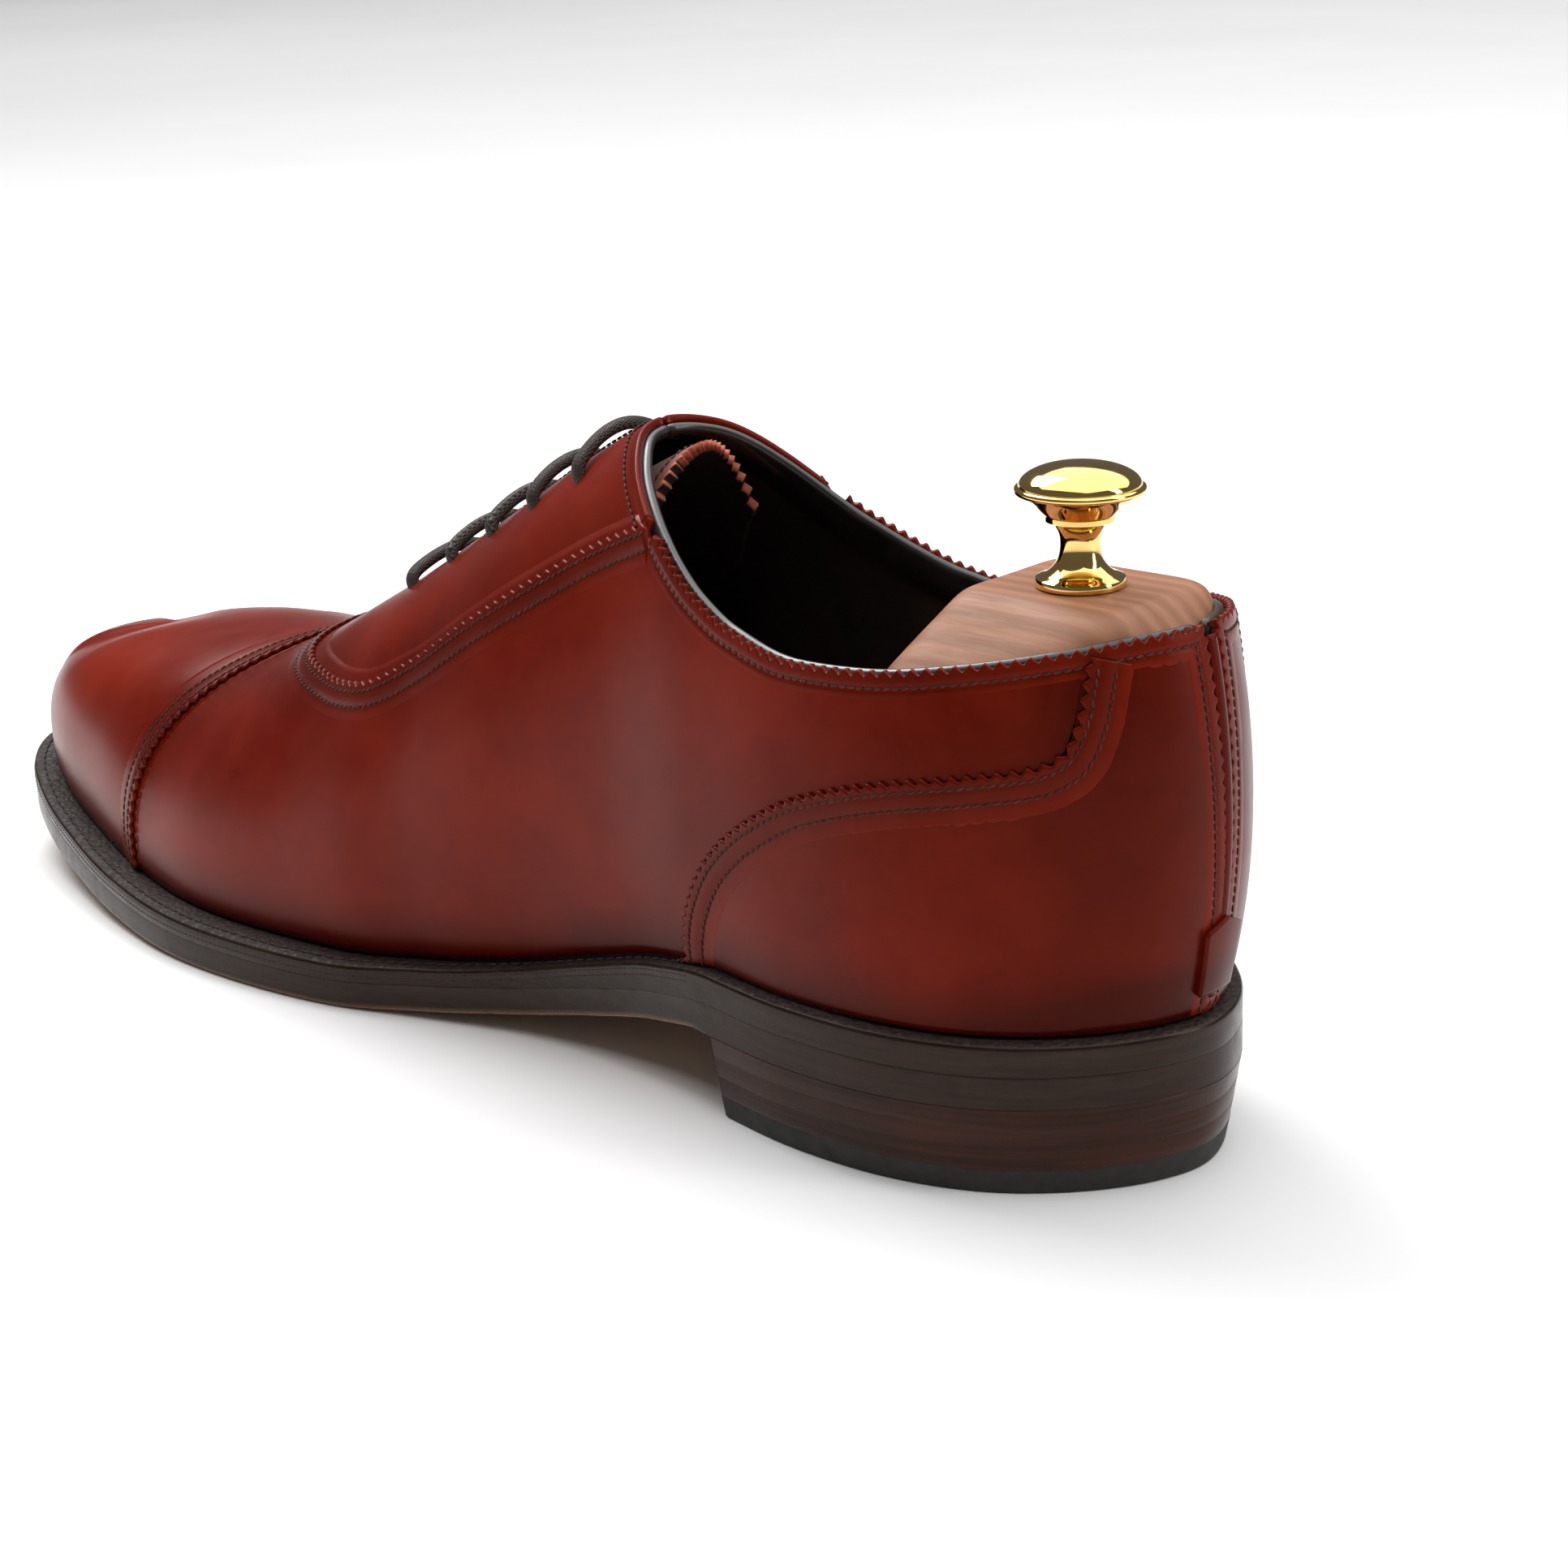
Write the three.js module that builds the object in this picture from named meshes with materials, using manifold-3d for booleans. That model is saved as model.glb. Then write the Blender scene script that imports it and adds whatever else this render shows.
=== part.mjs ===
// Left cap-toe oxford shoe on its leather sole, laced shut, with a sprung shoe tree inside.
// Millimetres. +X runs from the toe to the heel, -Y is the outer (lateral) side, +Z is up.
// The origin is on the ground at the middle of the heel's top piece.
import * as THREE from 'three';
import { mergeVertices } from 'three/addons/utils/BufferGeometryUtils.js';
import Module from 'manifold-3d';

const wasm = await Module();
wasm.setup();

// ---- Driving dimensions ----------------------------------------------------------------
const LENGTH = 302; // outsole, toe tip to heel back
const WIDTH = 97; // outsole across the ball
const BACK_X = 38; // heel back; the sole runs from BACK_X - LENGTH to here
const TOE_Y = 8; // how far the toe tip swings to the inner side
const HEEL_HEIGHT = 15.2; // ground to the underside of the outsole at the heel
const TOP_PIECE = 4.2; // rubber top piece that meets the ground
const LIFTS = 3; // leather lifts above it
const HEEL_BREAST_X = -38; // flat front face of the heel
const HEEL_TAPER = 2.4; // how much the heel draws in from rand to ground
const TOE_SPRING = 12.5; // toe tip above the ground
const OUTSOLE = 5.2; // outsole thickness
const WELT = 3.3; // welt thickness
const RAND = 5.2; // rand thickness round the heel seat
const WELT_WIDTH = 12; // welt, from its edge to the rib
const UPPER = 1.3; // leather of the upper
const LINING = 1.0; // lining leather
const STIFFENER = 1.2; // toe puff and heel stiffener
const GAP = 0.3; // clearance between touching pieces
const PLY_GAP = 0.7; // clearance between the plies of the upper
const INSOLE = 3.0; // insole thickness
const SOCK = 1.0; // sock lining at the heel
const SHANK_WIDTH = 14; // steel shank under the waist
const SHANK = 1.2; // shank thickness
const LACE = 2.4; // lace diameter
const EYELETS = 5; // pairs of blind eyelets
const EYELET_HOLE = LACE + 0.9; // punched hole for the lace
const EYELET_INSET = 12.5; // eyelet row to the edge of the slit
const SLIT = 1.2; // gap between the two facings
const TONGUE = 1.8; // tongue thickness
const TONGUE_WIDTH = 50; // across the free end
const BINDING = 1.1; // how far the topline binding stands above the leather
const TREE_TOP = 91; // flat top of the tree's heel block
const TREE_TOP_WIDTH = 26; // heel block's flat top, across
const TREE_BEVEL = 11; // height of the sloped sides below it
const TREE_BEVEL_OUT = 14; // how far they run out
const TREE_CLEARANCE = 0.9; // tree to lining
const KNOB = 20.4; // diameter of the brass knob
const KNOB_HEIGHT = 19.4; // knob, base to crown
const KNOB_X = 12; // knob axis
const TUBE = 12; // outside diameter of the tree's tube
const TUBE_WALL = 1; // wall of the tube
const TREE_FRONT_X = -3; // front edge of the flat top
const TREE_REAR_X = 27; // rear edge of the flat top
const TOE_SPLIT = 4; // gap between the two toe halves of the tree
const PIN = 4; // diameter of the pins between the toe halves
const TAB = 1; // thickness of the small tab at the foot of the back seam
const TAB_TOP = 43; // its top above the ground
const TREE_TRAVEL = 15; // how far the heel block slides towards the toe

// ---- Small maths -----------------------------------------------------------------------
const lerp = (a, b, w) => a + (b - a) * w;
const clamp = (v, a, b) => Math.min(b, Math.max(a, v));
const smooth = (v, a, b) => {
  const w = clamp((v - a) / (b - a), 0, 1);
  return w * w * (3 - 2 * w);
};
const stretch = (x) => BACK_X + (x - 38) * LENGTH / 302; // places along a 302 mm shoe
const widen = (y) => y * WIDTH / 97; // places across a 97 mm shoe

// Monotone cubic through [x, value] points, with x stretched to the shoe's length.
function table(points) {
  const xs = points.map((p) => stretch(p[0]));
  const vs = points.map((p) => p[1]);
  const n = xs.length;
  const slope = [];
  for (let i = 0; i < n - 1; i += 1) slope.push((vs[i + 1] - vs[i]) / (xs[i + 1] - xs[i]));
  const tangent = vs.map((v, i) => {
    if (i === 0) return slope[0];
    if (i === n - 1) return slope[n - 2];
    return slope[i - 1] * slope[i] <= 0 ? 0 : 2 / (1 / slope[i - 1] + 1 / slope[i]);
  });
  return (x) => {
    if (x <= xs[0]) return vs[0];
    if (x >= xs[n - 1]) return vs[n - 1];
    let i = 0;
    while (x > xs[i + 1]) i += 1;
    const h = xs[i + 1] - xs[i];
    const w = (x - xs[i]) / h;
    const a = vs[i] + tangent[i] * h * w + (3 * slope[i] - 2 * tangent[i] - tangent[i + 1]) * h * w * w;
    return a + (tangent[i] + tangent[i + 1] - 2 * slope[i]) * h * w * w * w;
  };
}

// ---- The sole's outline and levels --------------------------------------------------------
// s runs round the outline: 0 at the toe tip, 0.5 at the heel back, back to 1 at the toe tip.
// The first half is the outer side, the second half the inner side, with as many points each.
const OUTER_EDGE = [[-264, TOE_Y], [-261, -4], [-252.5, -14], [-238, -22.5], [-220, -29.5], [-198, -36.5],
  [-174, -41.5], [-150, -42], [-130, -39.5], [-110, -33.5], [-88, -28.5], [-64, -29], [-40, -34],
  [-20, -37], [0, -36], [16, -30.5], [28, -21], [35.5, -10]];
const INNER_EDGE = [[38, 0], [35.5, 10], [28, 20.5], [16, 29.5], [0, 34], [-20, 34.5], [-40, 31.5],
  [-62, 28.5], [-84, 30], [-106, 36.5], [-128, 45.5], [-150, 53], [-174, 55], [-198, 51.5],
  [-220, 45.5], [-238, 38], [-252, 29.5], [-261, 19]];
const outline = new THREE.CatmullRomCurve3(
  [...OUTER_EDGE, ...INNER_EDGE].map(([x, y]) => new THREE.Vector3(stretch(x), widen(y), 0)),
  true, 'centripetal');
const TOE = 0;
const HEEL = 0.5;
const wrap = (s) => s - Math.floor(s);

// A point on the outline moved inwards by inset.
function edge(s, inset = 0) {
  const p = outline.getPoint(wrap(s));
  const t = outline.getTangent(wrap(s));
  return new THREE.Vector2(p.x - t.y * inset, p.y + t.x * inset);
}

const soleZ = table([[-264, TOE_SPRING], [-245, TOE_SPRING * 0.7], [-222, TOE_SPRING * 0.36],
  [-200, TOE_SPRING * 0.14], [-178, TOE_SPRING * 0.03], [-160, 0], [-130, 0], [-112, 1.2],
  [-92, 3.8], [-72, 8.2], [-54, 12.6], [-38, HEEL_HEIGHT], [38, HEEL_HEIGHT]]);
const weltHeight = table([[-264, WELT], [-110, WELT], [-50, RAND], [38, RAND]]);
const weltTop = (x) => soleZ(x) + OUTSOLE + GAP + weltHeight(x);
const sideOf = (s) => (wrap(s) < HEEL ? -1 : 1);

// The value of s where the outline passes x on one side.
function sAt(x, side) {
  let near = side < 0 ? 0 : 1;
  let far = HEEL;
  for (let i = 0; i < 40; i += 1) {
    const mid = (near + far) / 2;
    if (outline.getPoint(mid).x < x) near = mid;
    else far = mid;
  }
  return (near + far) / 2;
}

// ---- The last: the surface that the upper is pulled over ---------------------------------
// (s, t): s round the feather line, t from 0 at the welt to 1 on the crown line.
const featherInset = table([[-264, 4.8], [-200, 6], [-150, 6], [-95, 3.6], [-45, 2.4], [38, 2.2]]);
const crownX = table([[-260, -229], [-248, -218], [-230, -199], [-212, -180], [-196, -165], [-180, -154],
  [-160, -142], [-130, -124], [-95, -92], [-60, -62], [-20, -28], [10, -8], [36, 4]]);
const crownY = table([[-226, 9], [-190, 8], [-160, 6], [-120, 3], [-80, 0], [-40, 0], [10, 0]]);
const crownZ = table([[-229, 47.4], [-214, 51], [-200, 52.9], [-185, 54.3], [-171, 56], [-160, 60.3],
  [-140, 71], [-110, 88.5], [-78, 107], [-50, 119], [-20, 127], [4, 129]]);
const rise = table([[-260, 0.8], [-215, 0.7], [-186, 0.55], [-150, 0.5], [-110, 0.46], [-60, 0.4],
  [36, 0.42]]);
const leanOuter = table([[-260, 0.16], [-215, 0.14], [-186, 0.1], [-150, 0.14], [-120, 0.3], [-90, 0.48],
  [-50, 0.3], [-15, 0.17], [15, 0.17], [36, 0.26]]);
const leanInner = table([[-260, 0.16], [-215, 0.14], [-186, 0.08], [-150, 0.08], [-120, 0.18], [-90, 0.34],
  [-50, 0.25], [-15, 0.14], [15, 0.16], [36, 0.26]]);
const reach = table([[-260, 0.72], [-215, 0.68], [-186, 0.6], [-150, 0.6], [-120, 0.72], [-90, 0.9],
  [-50, 0.9], [36, 0.85]]);

function lastPoint(s, t) {
  const p = outline.getPoint(wrap(s));
  const inset = featherInset(p.x);
  const f = edge(s, inset);
  const foot = new THREE.Vector3(f.x, f.y, weltTop(f.x) + 2 * GAP);
  const x = crownX(p.x);
  const crown = new THREE.Vector3(x, widen(crownY(x)), crownZ(x));
  const out = new THREE.Vector2(f.x - edge(s, inset + 1).x, f.y - edge(s, inset + 1).y);
  const lift = (crown.z - foot.z) * rise(p.x);
  const lean = lift * (sideOf(s) < 0 ? leanOuter(p.x) : leanInner(p.x));
  const run = new THREE.Vector2(foot.x - crown.x, foot.y - crown.y);
  const grade = (crownZ(x + 2) - crownZ(x - 2)) / 4;
  const far = reach(p.x);
  const c1 = new THREE.Vector3(foot.x + out.x * lean, foot.y + out.y * lean, foot.z + lift);
  const c2 = new THREE.Vector3(crown.x + run.x * far, crown.y + run.y * far, crown.z + run.x * far * grade);
  const k = 1 - t;
  return foot.multiplyScalar(k * k * k).addScaledVector(c1, 3 * k * k * t)
    .addScaledVector(c2, 3 * k * t * t).addScaledVector(crown, t * t * t);
}

function lastNormal(s, t) {
  const d = 0.002;
  const up = clamp(t, 0.004, 0.992);
  const a = lastPoint(s + d, up).sub(lastPoint(s - d, up));
  const b = lastPoint(s, up + 0.003).sub(lastPoint(s, up - 0.003));
  const n = a.cross(b).normalize();
  if (t > 0.985) n.y *= 1 - (t - 0.985) / 0.015;
  return n.normalize();
}

// A point below (depth > 0) or above the last's surface.
function skin(s, t, depth = 0) {
  return lastPoint(s, t).addScaledVector(lastNormal(s, t), -depth);
}

// The t where the surface at s reaches a height.
function tAt(s, z) {
  let low = 0;
  let high = 1;
  for (let i = 0; i < 30; i += 1) {
    const mid = (low + high) / 2;
    if (lastPoint(s, mid).z < z) low = mid;
    else high = mid;
  }
  return (low + high) / 2;
}

// ---- Solids from grids of points ----------------------------------------------------------
// Builds a closed geometry from triangles given as point triples.
function geometryOf(triangles) {
  const flat = new Float32Array(triangles.length * 9);
  triangles.forEach((tri, i) => tri.forEach((p, j) => flat.set([p.x, p.y, p.z], i * 9 + j * 3)));
  const geometry = new THREE.BufferGeometry();
  geometry.setAttribute('position', new THREE.BufferAttribute(flat, 3));
  return mergeVertices(geometry, 1e-4);
}

const same = (a, b) => a.distanceToSquared(b) < 1e-8;

// Two triangles for each cell of a grid of points, rows by columns, facing rows x columns.
function gridTriangles(grid, flip = false) {
  const out = [];
  const add = (a, b, c) => {
    if (same(a, b) || same(b, c) || same(a, c)) return;
    out.push(flip ? [a, c, b] : [a, b, c]);
  };
  for (let i = 0; i + 1 < grid.length; i += 1) {
    for (let j = 0; j + 1 < grid[i].length; j += 1) {
      add(grid[i][j], grid[i + 1][j], grid[i + 1][j + 1]);
      add(grid[i][j], grid[i + 1][j + 1], grid[i][j + 1]);
    }
  }
  return out;
}

// A sheet of leather: grids of [s, t] rows on the last, given thickness between two depths.
// Grid edges that meet (at the toe, the heel or the crown line) are joined into one sheet.
function sheet(grids, outer, inner) {
  const places = new Map();
  const nodes = [];
  const nodeAt = ([s, t]) => {
    const p = lastPoint(s, t);
    const key = [p.x, p.y, p.z].map((v) => Math.round(v * 500)).join();
    if (!places.has(key)) {
      places.set(key, nodes.length);
      nodes.push({ outer: skin(s, t, outer(s, t)), inner: skin(s, t, inner(s, t)) });
    }
    return places.get(key);
  };
  const faces = [];
  for (const grid of grids) {
    const ids = grid.map((row) => row.map(nodeAt));
    for (let i = 0; i + 1 < ids.length; i += 1) {
      for (let j = 0; j + 1 < ids[i].length; j += 1) {
        faces.push([ids[i][j], ids[i + 1][j], ids[i + 1][j + 1]]);
        faces.push([ids[i][j], ids[i + 1][j + 1], ids[i][j + 1]]);
      }
    }
  }
  const whole = faces.filter(([a, b, c]) => a !== b && b !== c && a !== c);
  const edges = new Set(whole.flatMap(([a, b, c]) => [`${a},${b}`, `${b},${c}`, `${c},${a}`]));
  const triangles = [];
  for (const [a, b, c] of whole) {
    triangles.push([nodes[a].outer, nodes[b].outer, nodes[c].outer]);
    triangles.push([nodes[a].inner, nodes[c].inner, nodes[b].inner]);
    for (const [m, n] of [[a, b], [b, c], [c, a]]) {
      if (edges.has(`${n},${m}`)) continue;
      triangles.push([nodes[n].outer, nodes[m].outer, nodes[m].inner]);
      triangles.push([nodes[n].outer, nodes[m].inner, nodes[n].inner]);
    }
  }
  return geometryOf(triangles);
}

// Rows of a sheet on one side (-1 outer, 1 inner) at the given places along the outline,
// each from t = low(s) to t = high(s) in cells steps.
function rows(side, places, low, high, cells) {
  const list = places.map((x) => {
    const s = typeof x === 'string' ? { toe: side < 0 ? 0 : 1, heel: HEEL }[x] : sAt(stretch(x), side);
    const to = high(s);
    const from = Math.min(low(s), to - 0.006);
    return Array.from({ length: cells + 1 }, (_, j) => [s, lerp(from, to, j / cells)]);
  });
  return side < 0 ? list : list.reverse();
}

// n + 1 places from a to b, both along the 302 mm shoe.
const spread = (a, b, n) => Array.from({ length: n + 1 }, (_, i) => lerp(a, b, i / n));
const TOE_ROWS = ['toe', -262.5, -259, -254, -248, -241, -233, -224, -214, -204];
const TOP_ROWS = [-80, -77, -74, -71, -68, -65, -62, -59, -56.5];
const REAR_ROWS = [-47.5, -45.5, -43.5, -40, -36, -30, -22, -12, 0, 9];
const HEEL_ROWS = [18, 23, 25.6, 26.6, 28.5, 31, 33.5, 35.5, 37, 'heel'];
const HALVES = [-1, 1];
const TOE_CELLS = 9; // cells from the welt to the crown line over the toe

// A plate under the foot: from the outline inset by a width, between two levels.
function plate(places, insetLow, insetHigh, low, high) {
  const rowAt = (x, inset, level) => {
    const pair = HALVES.map((side) => {
      const s = typeof x === 'string' ? { toe: 0, heel: HEEL }[x] : sAt(stretch(x), side);
      const p = edge(s, inset(outline.getPoint(s).x));
      return p;
    });
    return [0, 0.5, 1].map((w) => {
      const px = lerp(pair[0].x, pair[1].x, w);
      return new THREE.Vector3(px, lerp(pair[0].y, pair[1].y, w), level(px));
    });
  };
  const top = places.map((x) => rowAt(x, insetHigh, high));
  const bottom = places.map((x) => rowAt(x, insetLow, low));
  const last = places.length - 1;
  const across = top[0].length - 1;
  return geometryOf([
    ...gridTriangles(top),
    ...gridTriangles(bottom, true),
    ...gridTriangles([bottom.map((r) => r[0]), top.map((r) => r[0])], true),
    ...gridTriangles([bottom.map((r) => r[across]), top.map((r) => r[across])]),
    ...gridTriangles([bottom[0], top[0]]),
    ...gridTriangles([bottom[last], top[last]], true),
  ]);
}

// A band that follows the outline from one value of s to another, between two insets and levels.
function band(values, from, to, low, high) {
  const ring = values.map((s) => {
    const { x } = outline.getPoint(wrap(s));
    const a = edge(s, from(x));
    const b = edge(s, to(x));
    return [[a, low], [a, high], [b, high], [b, low], [a, low]]
      .map(([p, level]) => new THREE.Vector3(p.x, p.y, level(p.x)));
  });
  const first = ring[0];
  const last = ring[ring.length - 1];
  return geometryOf([
    ...gridTriangles(ring),
    [first[0], first[1], first[2]], [first[0], first[2], first[3]],
    [last[0], last[2], last[1]], [last[0], last[3], last[2]],
  ]);
}

// A section swept along frames, each a point with two unit vectors across the path.
function sweep(frames, section) {
  const ring = frames.map(({ at, u, v }) => [...section, section[0]].map(([a, b]) => at.clone()
    .addScaledVector(u, a).addScaledVector(v, b)));
  const cap = (points, flip) => section.slice(2).map((_, i) => (flip
    ? [points[0], points[i + 2], points[i + 1]] : [points[0], points[i + 1], points[i + 2]]));
  return geometryOf([
    ...gridTriangles(ring),
    ...cap(ring[0], true).map((tri) => [tri[0], tri[2], tri[1]]),
    ...cap(ring[ring.length - 1], false).map((tri) => [tri[0], tri[2], tri[1]]),
  ]);
}

function solidOf(geometry) {
  const bare = geometry.clone().applyMatrix4(new THREE.Matrix4());
  bare.deleteAttribute('normal');
  bare.deleteAttribute('uv');
  const merged = mergeVertices(bare, 1e-4);
  return new wasm.Manifold(new wasm.Mesh({
    numProp: 3,
    vertProperties: new Float32Array(merged.attributes.position.array),
    triVerts: new Uint32Array(merged.index.array),
  }));
}

function geometryFrom(solid) {
  const mesh = solid.getMesh();
  const geometry = new THREE.BufferGeometry();
  geometry.setAttribute('position', new THREE.BufferAttribute(new Float32Array(mesh.vertProperties), 3));
  geometry.setIndex(new THREE.BufferAttribute(new Uint32Array(mesh.triVerts), 1));
  return geometry;
}

// geometry with each of the cutters taken away.
function cut(geometry, cutters) {
  return geometryFrom(cutters.reduce((solid, cutter) => solid.subtract(solidOf(cutter)), solidOf(geometry)));
}

// A cylinder between two points.
function rodBetween(a, b, radius, sides = 16) {
  const axis = new THREE.Vector3().subVectors(b, a);
  const geometry = new THREE.CylinderGeometry(radius, radius, axis.length(), sides);
  const up = new THREE.Vector3(0, 1, 0);
  const turn = new THREE.Quaternion().setFromUnitVectors(up, axis.clone().normalize());
  geometry.applyQuaternion(turn);
  return geometry.translate((a.x + b.x) / 2, (a.y + b.y) / 2, (a.z + b.z) / 2);
}

// ---- Seams, as heights along the shoe -----------------------------------------------------
const topline = table([[-95, 118], [-78, 109.5], [-71, 106.5], [-64, 101.5], [-57, 96.5], [-50, 92],
  [-42, 87.7], [-33, 84.2], [-18, 81.5], [-5, 82], [12, 84.2], [24, 86.3], [33, 88], [46, 88.8]]);
// The inner side sits a little lower under the ankle.
const ANKLE_DROP = 3;
const innerTopline = (x) => {
  const underAnkle = smooth(x, stretch(-72), stretch(-50)) * (1 - smooth(x, stretch(-25), stretch(5)));
  return topline(x) - ANKLE_DROP * underAnkle;
};
const facingSeam = table([[-175, 66], [-166, 61.5], [-158, 59.2], [-148, 58.2], [-138, 57.8], [-129, 58.8],
  [-115, 65], [-101, 74], [-85, 83.5], [-70, 91.5], [-57, 97], [-48, 101]]);
const rearSeam = table([[-50, 15], [-47.5, 22], [-45.5, 31], [-42, 39], [-36.5, 47], [-28, 54.5], [-16, 61.5],
  [0, 66.5], [14, 69], [22, 70.5], [25, 72.5], [26.4, 78], [27, 96], [46, 110]]);

// The t where the surface at s meets a seam, raised by lift.
function tOn(s, seam, lift = 0) {
  let low = 0;
  let high = 1;
  for (let i = 0; i < 28; i += 1) {
    const mid = (low + high) / 2;
    const p = lastPoint(s, mid);
    if (p.z < seam(p.x) + lift) low = mid;
    else high = mid;
  }
  return (low + high) / 2;
}

// The t where the surface at s is a distance across from the crown line.
function tAcross(s, distance) {
  const crown = lastPoint(s, 1).y;
  let low = 0;
  let high = 1;
  for (let i = 0; i < 28; i += 1) {
    const mid = (low + high) / 2;
    if (Math.abs(lastPoint(s, mid).y - crown) > distance) low = mid;
    else high = mid;
  }
  return (low + high) / 2;
}

const all = (value) => () => value;
const toplineT = (s) => tOn(s, sideOf(s) < 0 ? topline : innerTopline);
const slitT = (s) => tAcross(s, SLIT / 2);

// ---- Depths of the layers under the last's surface -----------------------------------------
const PUFF_END = -203; // rear edge of the toe puff, along the feather
const STIFFENER_START = -28; // front edge of the heel stiffener
const STIFFENER_TOP = 64; // its upper edge above the ground
const STIFFENER_DROP = 10; // how far that edge falls towards the front
function linedDepth(s, t) {
  const p = lastPoint(s, t);
  const toe = 1 - smooth(outline.getPoint(wrap(s)).x, stretch(-203), stretch(-180));
  const low = 1 - smooth(p.z, STIFFENER_TOP + 1, STIFFENER_TOP + 13);
  const heel = smooth(p.x, stretch(-50), stretch(-32)) * low;
  return UPPER + PLY_GAP + (STIFFENER + PLY_GAP) * Math.max(toe, heel);
}
const liningInside = (s, t) => linedDepth(s, t) + LINING;

// ---- Upper ---------------------------------------------------------------------------------
const CAP_SEAM = -196; // toe cap's seam, along the feather
const CAP_GAP = 0.35; // half of the gap left at a seam
const FACING_FRONT = -193; // where the facings start on the crown line

function toeCap() {
  const places = [...TOE_ROWS, CAP_SEAM - CAP_GAP];
  return sheet(HALVES.map((side) => rows(side, places, all(0), all(1), TOE_CELLS)), all(0), all(UPPER));
}

function vamp() {
  const places = [CAP_SEAM + CAP_GAP, FACING_FRONT, -190, -186, -181, -175, -168, -162,
    ...spread(-156, -54, 10), -50.5, ...REAR_ROWS, 18, 23, 25.6, 26.4];
  const low = (s) => (outline.getPoint(wrap(s)).x < stretch(-49.5) ? 0 : tOn(s, rearSeam, 3 * CAP_GAP));
  const high = (s) => {
    if (outline.getPoint(wrap(s)).x < stretch(FACING_FRONT) + 0.01) return 1;
    return Math.min(tOn(s, facingSeam, -2 * CAP_GAP), toplineT(s));
  };
  return sheet(HALVES.map((side) => rows(side, places, low, high, 6)), all(0), all(UPPER));
}

function facing(side, outer, inner) {
  const places = [-190.5, -186, -181, -175, -168, -162, ...spread(-156, -84, 8), ...TOP_ROWS];
  const low = (s) => tOn(s, facingSeam);
  const high = (s) => Math.min(slitT(s), toplineT(s));
  return sheet([rows(side, places, low, high, 4)], outer, inner);
}

function rearQuarter(side) {
  const places = [-49, ...REAR_ROWS, ...HEEL_ROWS.slice(0, -1), 37.9];
  const high = (s) => Math.min(tOn(s, rearSeam), toplineT(s));
  return sheet([rows(side, places, all(0), high, 6)], all(0), all(UPPER));
}

// ---- Linings and stiffeners ------------------------------------------------------------------
const LINING_SEAM = -150;
const HEEL_LINING_SEAM = -12;
const LINING_LOW = 0.012; // t at the lower edge of the linings
const LINING_DROP = 0.005; // how far in t the linings stop below the topline

function vampLining() {
  const places = [...TOE_ROWS, -196, -186, -175, -163, LINING_SEAM - CAP_GAP];
  const grids = HALVES.map((side) => rows(side, places, all(LINING_LOW), all(1), TOE_CELLS));
  return sheet(grids, linedDepth, liningInside);
}

function quarterLining(side) {
  const places = [...spread(LINING_SEAM + CAP_GAP, -84, 9), ...TOP_ROWS, -54, -48, -38, -26,
    HEEL_LINING_SEAM - CAP_GAP];
  const high = (s) => Math.min(tAcross(s, SLIT / 2 + 1), toplineT(s)) - LINING_DROP;
  return sheet([rows(side, places, all(LINING_LOW), high, 6)], linedDepth, liningInside);
}

function heelLining() {
  const places = [HEEL_LINING_SEAM + CAP_GAP, 0, 11, ...HEEL_ROWS];
  const grids = HALVES.map((side) => rows(side, places, all(LINING_LOW), toplineT, 7));
  return sheet(grids, linedDepth, liningInside);
}

function toePuff() {
  const places = TOE_ROWS;
  return sheet(HALVES.map((side) => rows(side, places, all(LINING_LOW), all(1), TOE_CELLS)),
    all(UPPER + PLY_GAP), all(UPPER + PLY_GAP + STIFFENER));
}

function heelStiffener() {
  const places = [STIFFENER_START, -18, -6, 8, ...HEEL_ROWS];
  const high = (s) => tAt(s, STIFFENER_TOP - STIFFENER_DROP * smooth(-outline.getPoint(wrap(s)).x, -20, 30));
  return sheet(HALVES.map((side) => rows(side, places, all(0.03), high, 6)),
    all(UPPER + PLY_GAP), all(UPPER + PLY_GAP + STIFFENER));
}

// Stitched tab over the foot of the back seam.
function backTab() {
  const places = [37.5, 37.85, 'heel'];
  const high = (s) => tAt(s, TAB_TOP - Math.abs(edge(s).y) / 2);
  const grids = HALVES.map((side) => rows(side, places, all(0.02), high, 5));
  return sheet(grids, all(-GAP - TAB), all(-GAP));
}

// Piping along the topline, from one facing's top corner round the heel to the other's.
function toplineBinding() {
  const places = [...TOP_ROWS.slice(2), -54, -48, -40, -30, -22, -12, 0, 9, 18, 23, 26, 28.5, 31,
    33.5, 35.5, 37];
  const line = [
    ...places.map((x) => sAt(stretch(x), -1)), HEEL,
    ...places.map((x) => sAt(stretch(x), 1)).reverse(),
  ];
  const byThroat = (s) => lastPoint(s, 1).x < stretch(-60);
  const edgeAt = (s) => [s, byThroat(s) ? Math.min(slitT(s), toplineT(s)) : toplineT(s)];
  const points = line.map((s) => lastPoint(...edgeAt(s)));
  const frames = points.map((at, i) => {
    const next = points[Math.min(i + 1, points.length - 1)];
    const along = new THREE.Vector3().subVectors(next, points[Math.max(i - 1, 0)]);
    const u = lastNormal(...edgeAt(line[i]));
    const v = new THREE.Vector3().crossVectors(u, along).normalize();
    return { at, u, v };
  });
  const outside = GAP;
  const inside = -(UPPER + PLY_GAP + LINING + GAP);
  const foot = 2 * GAP;
  const shoulder = foot + BINDING * 0.6;
  return sweep(frames, [[outside, foot], [outside, shoulder], [inside / 2, foot + BINDING],
    [inside, shoulder], [inside, foot]]);
}

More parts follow.
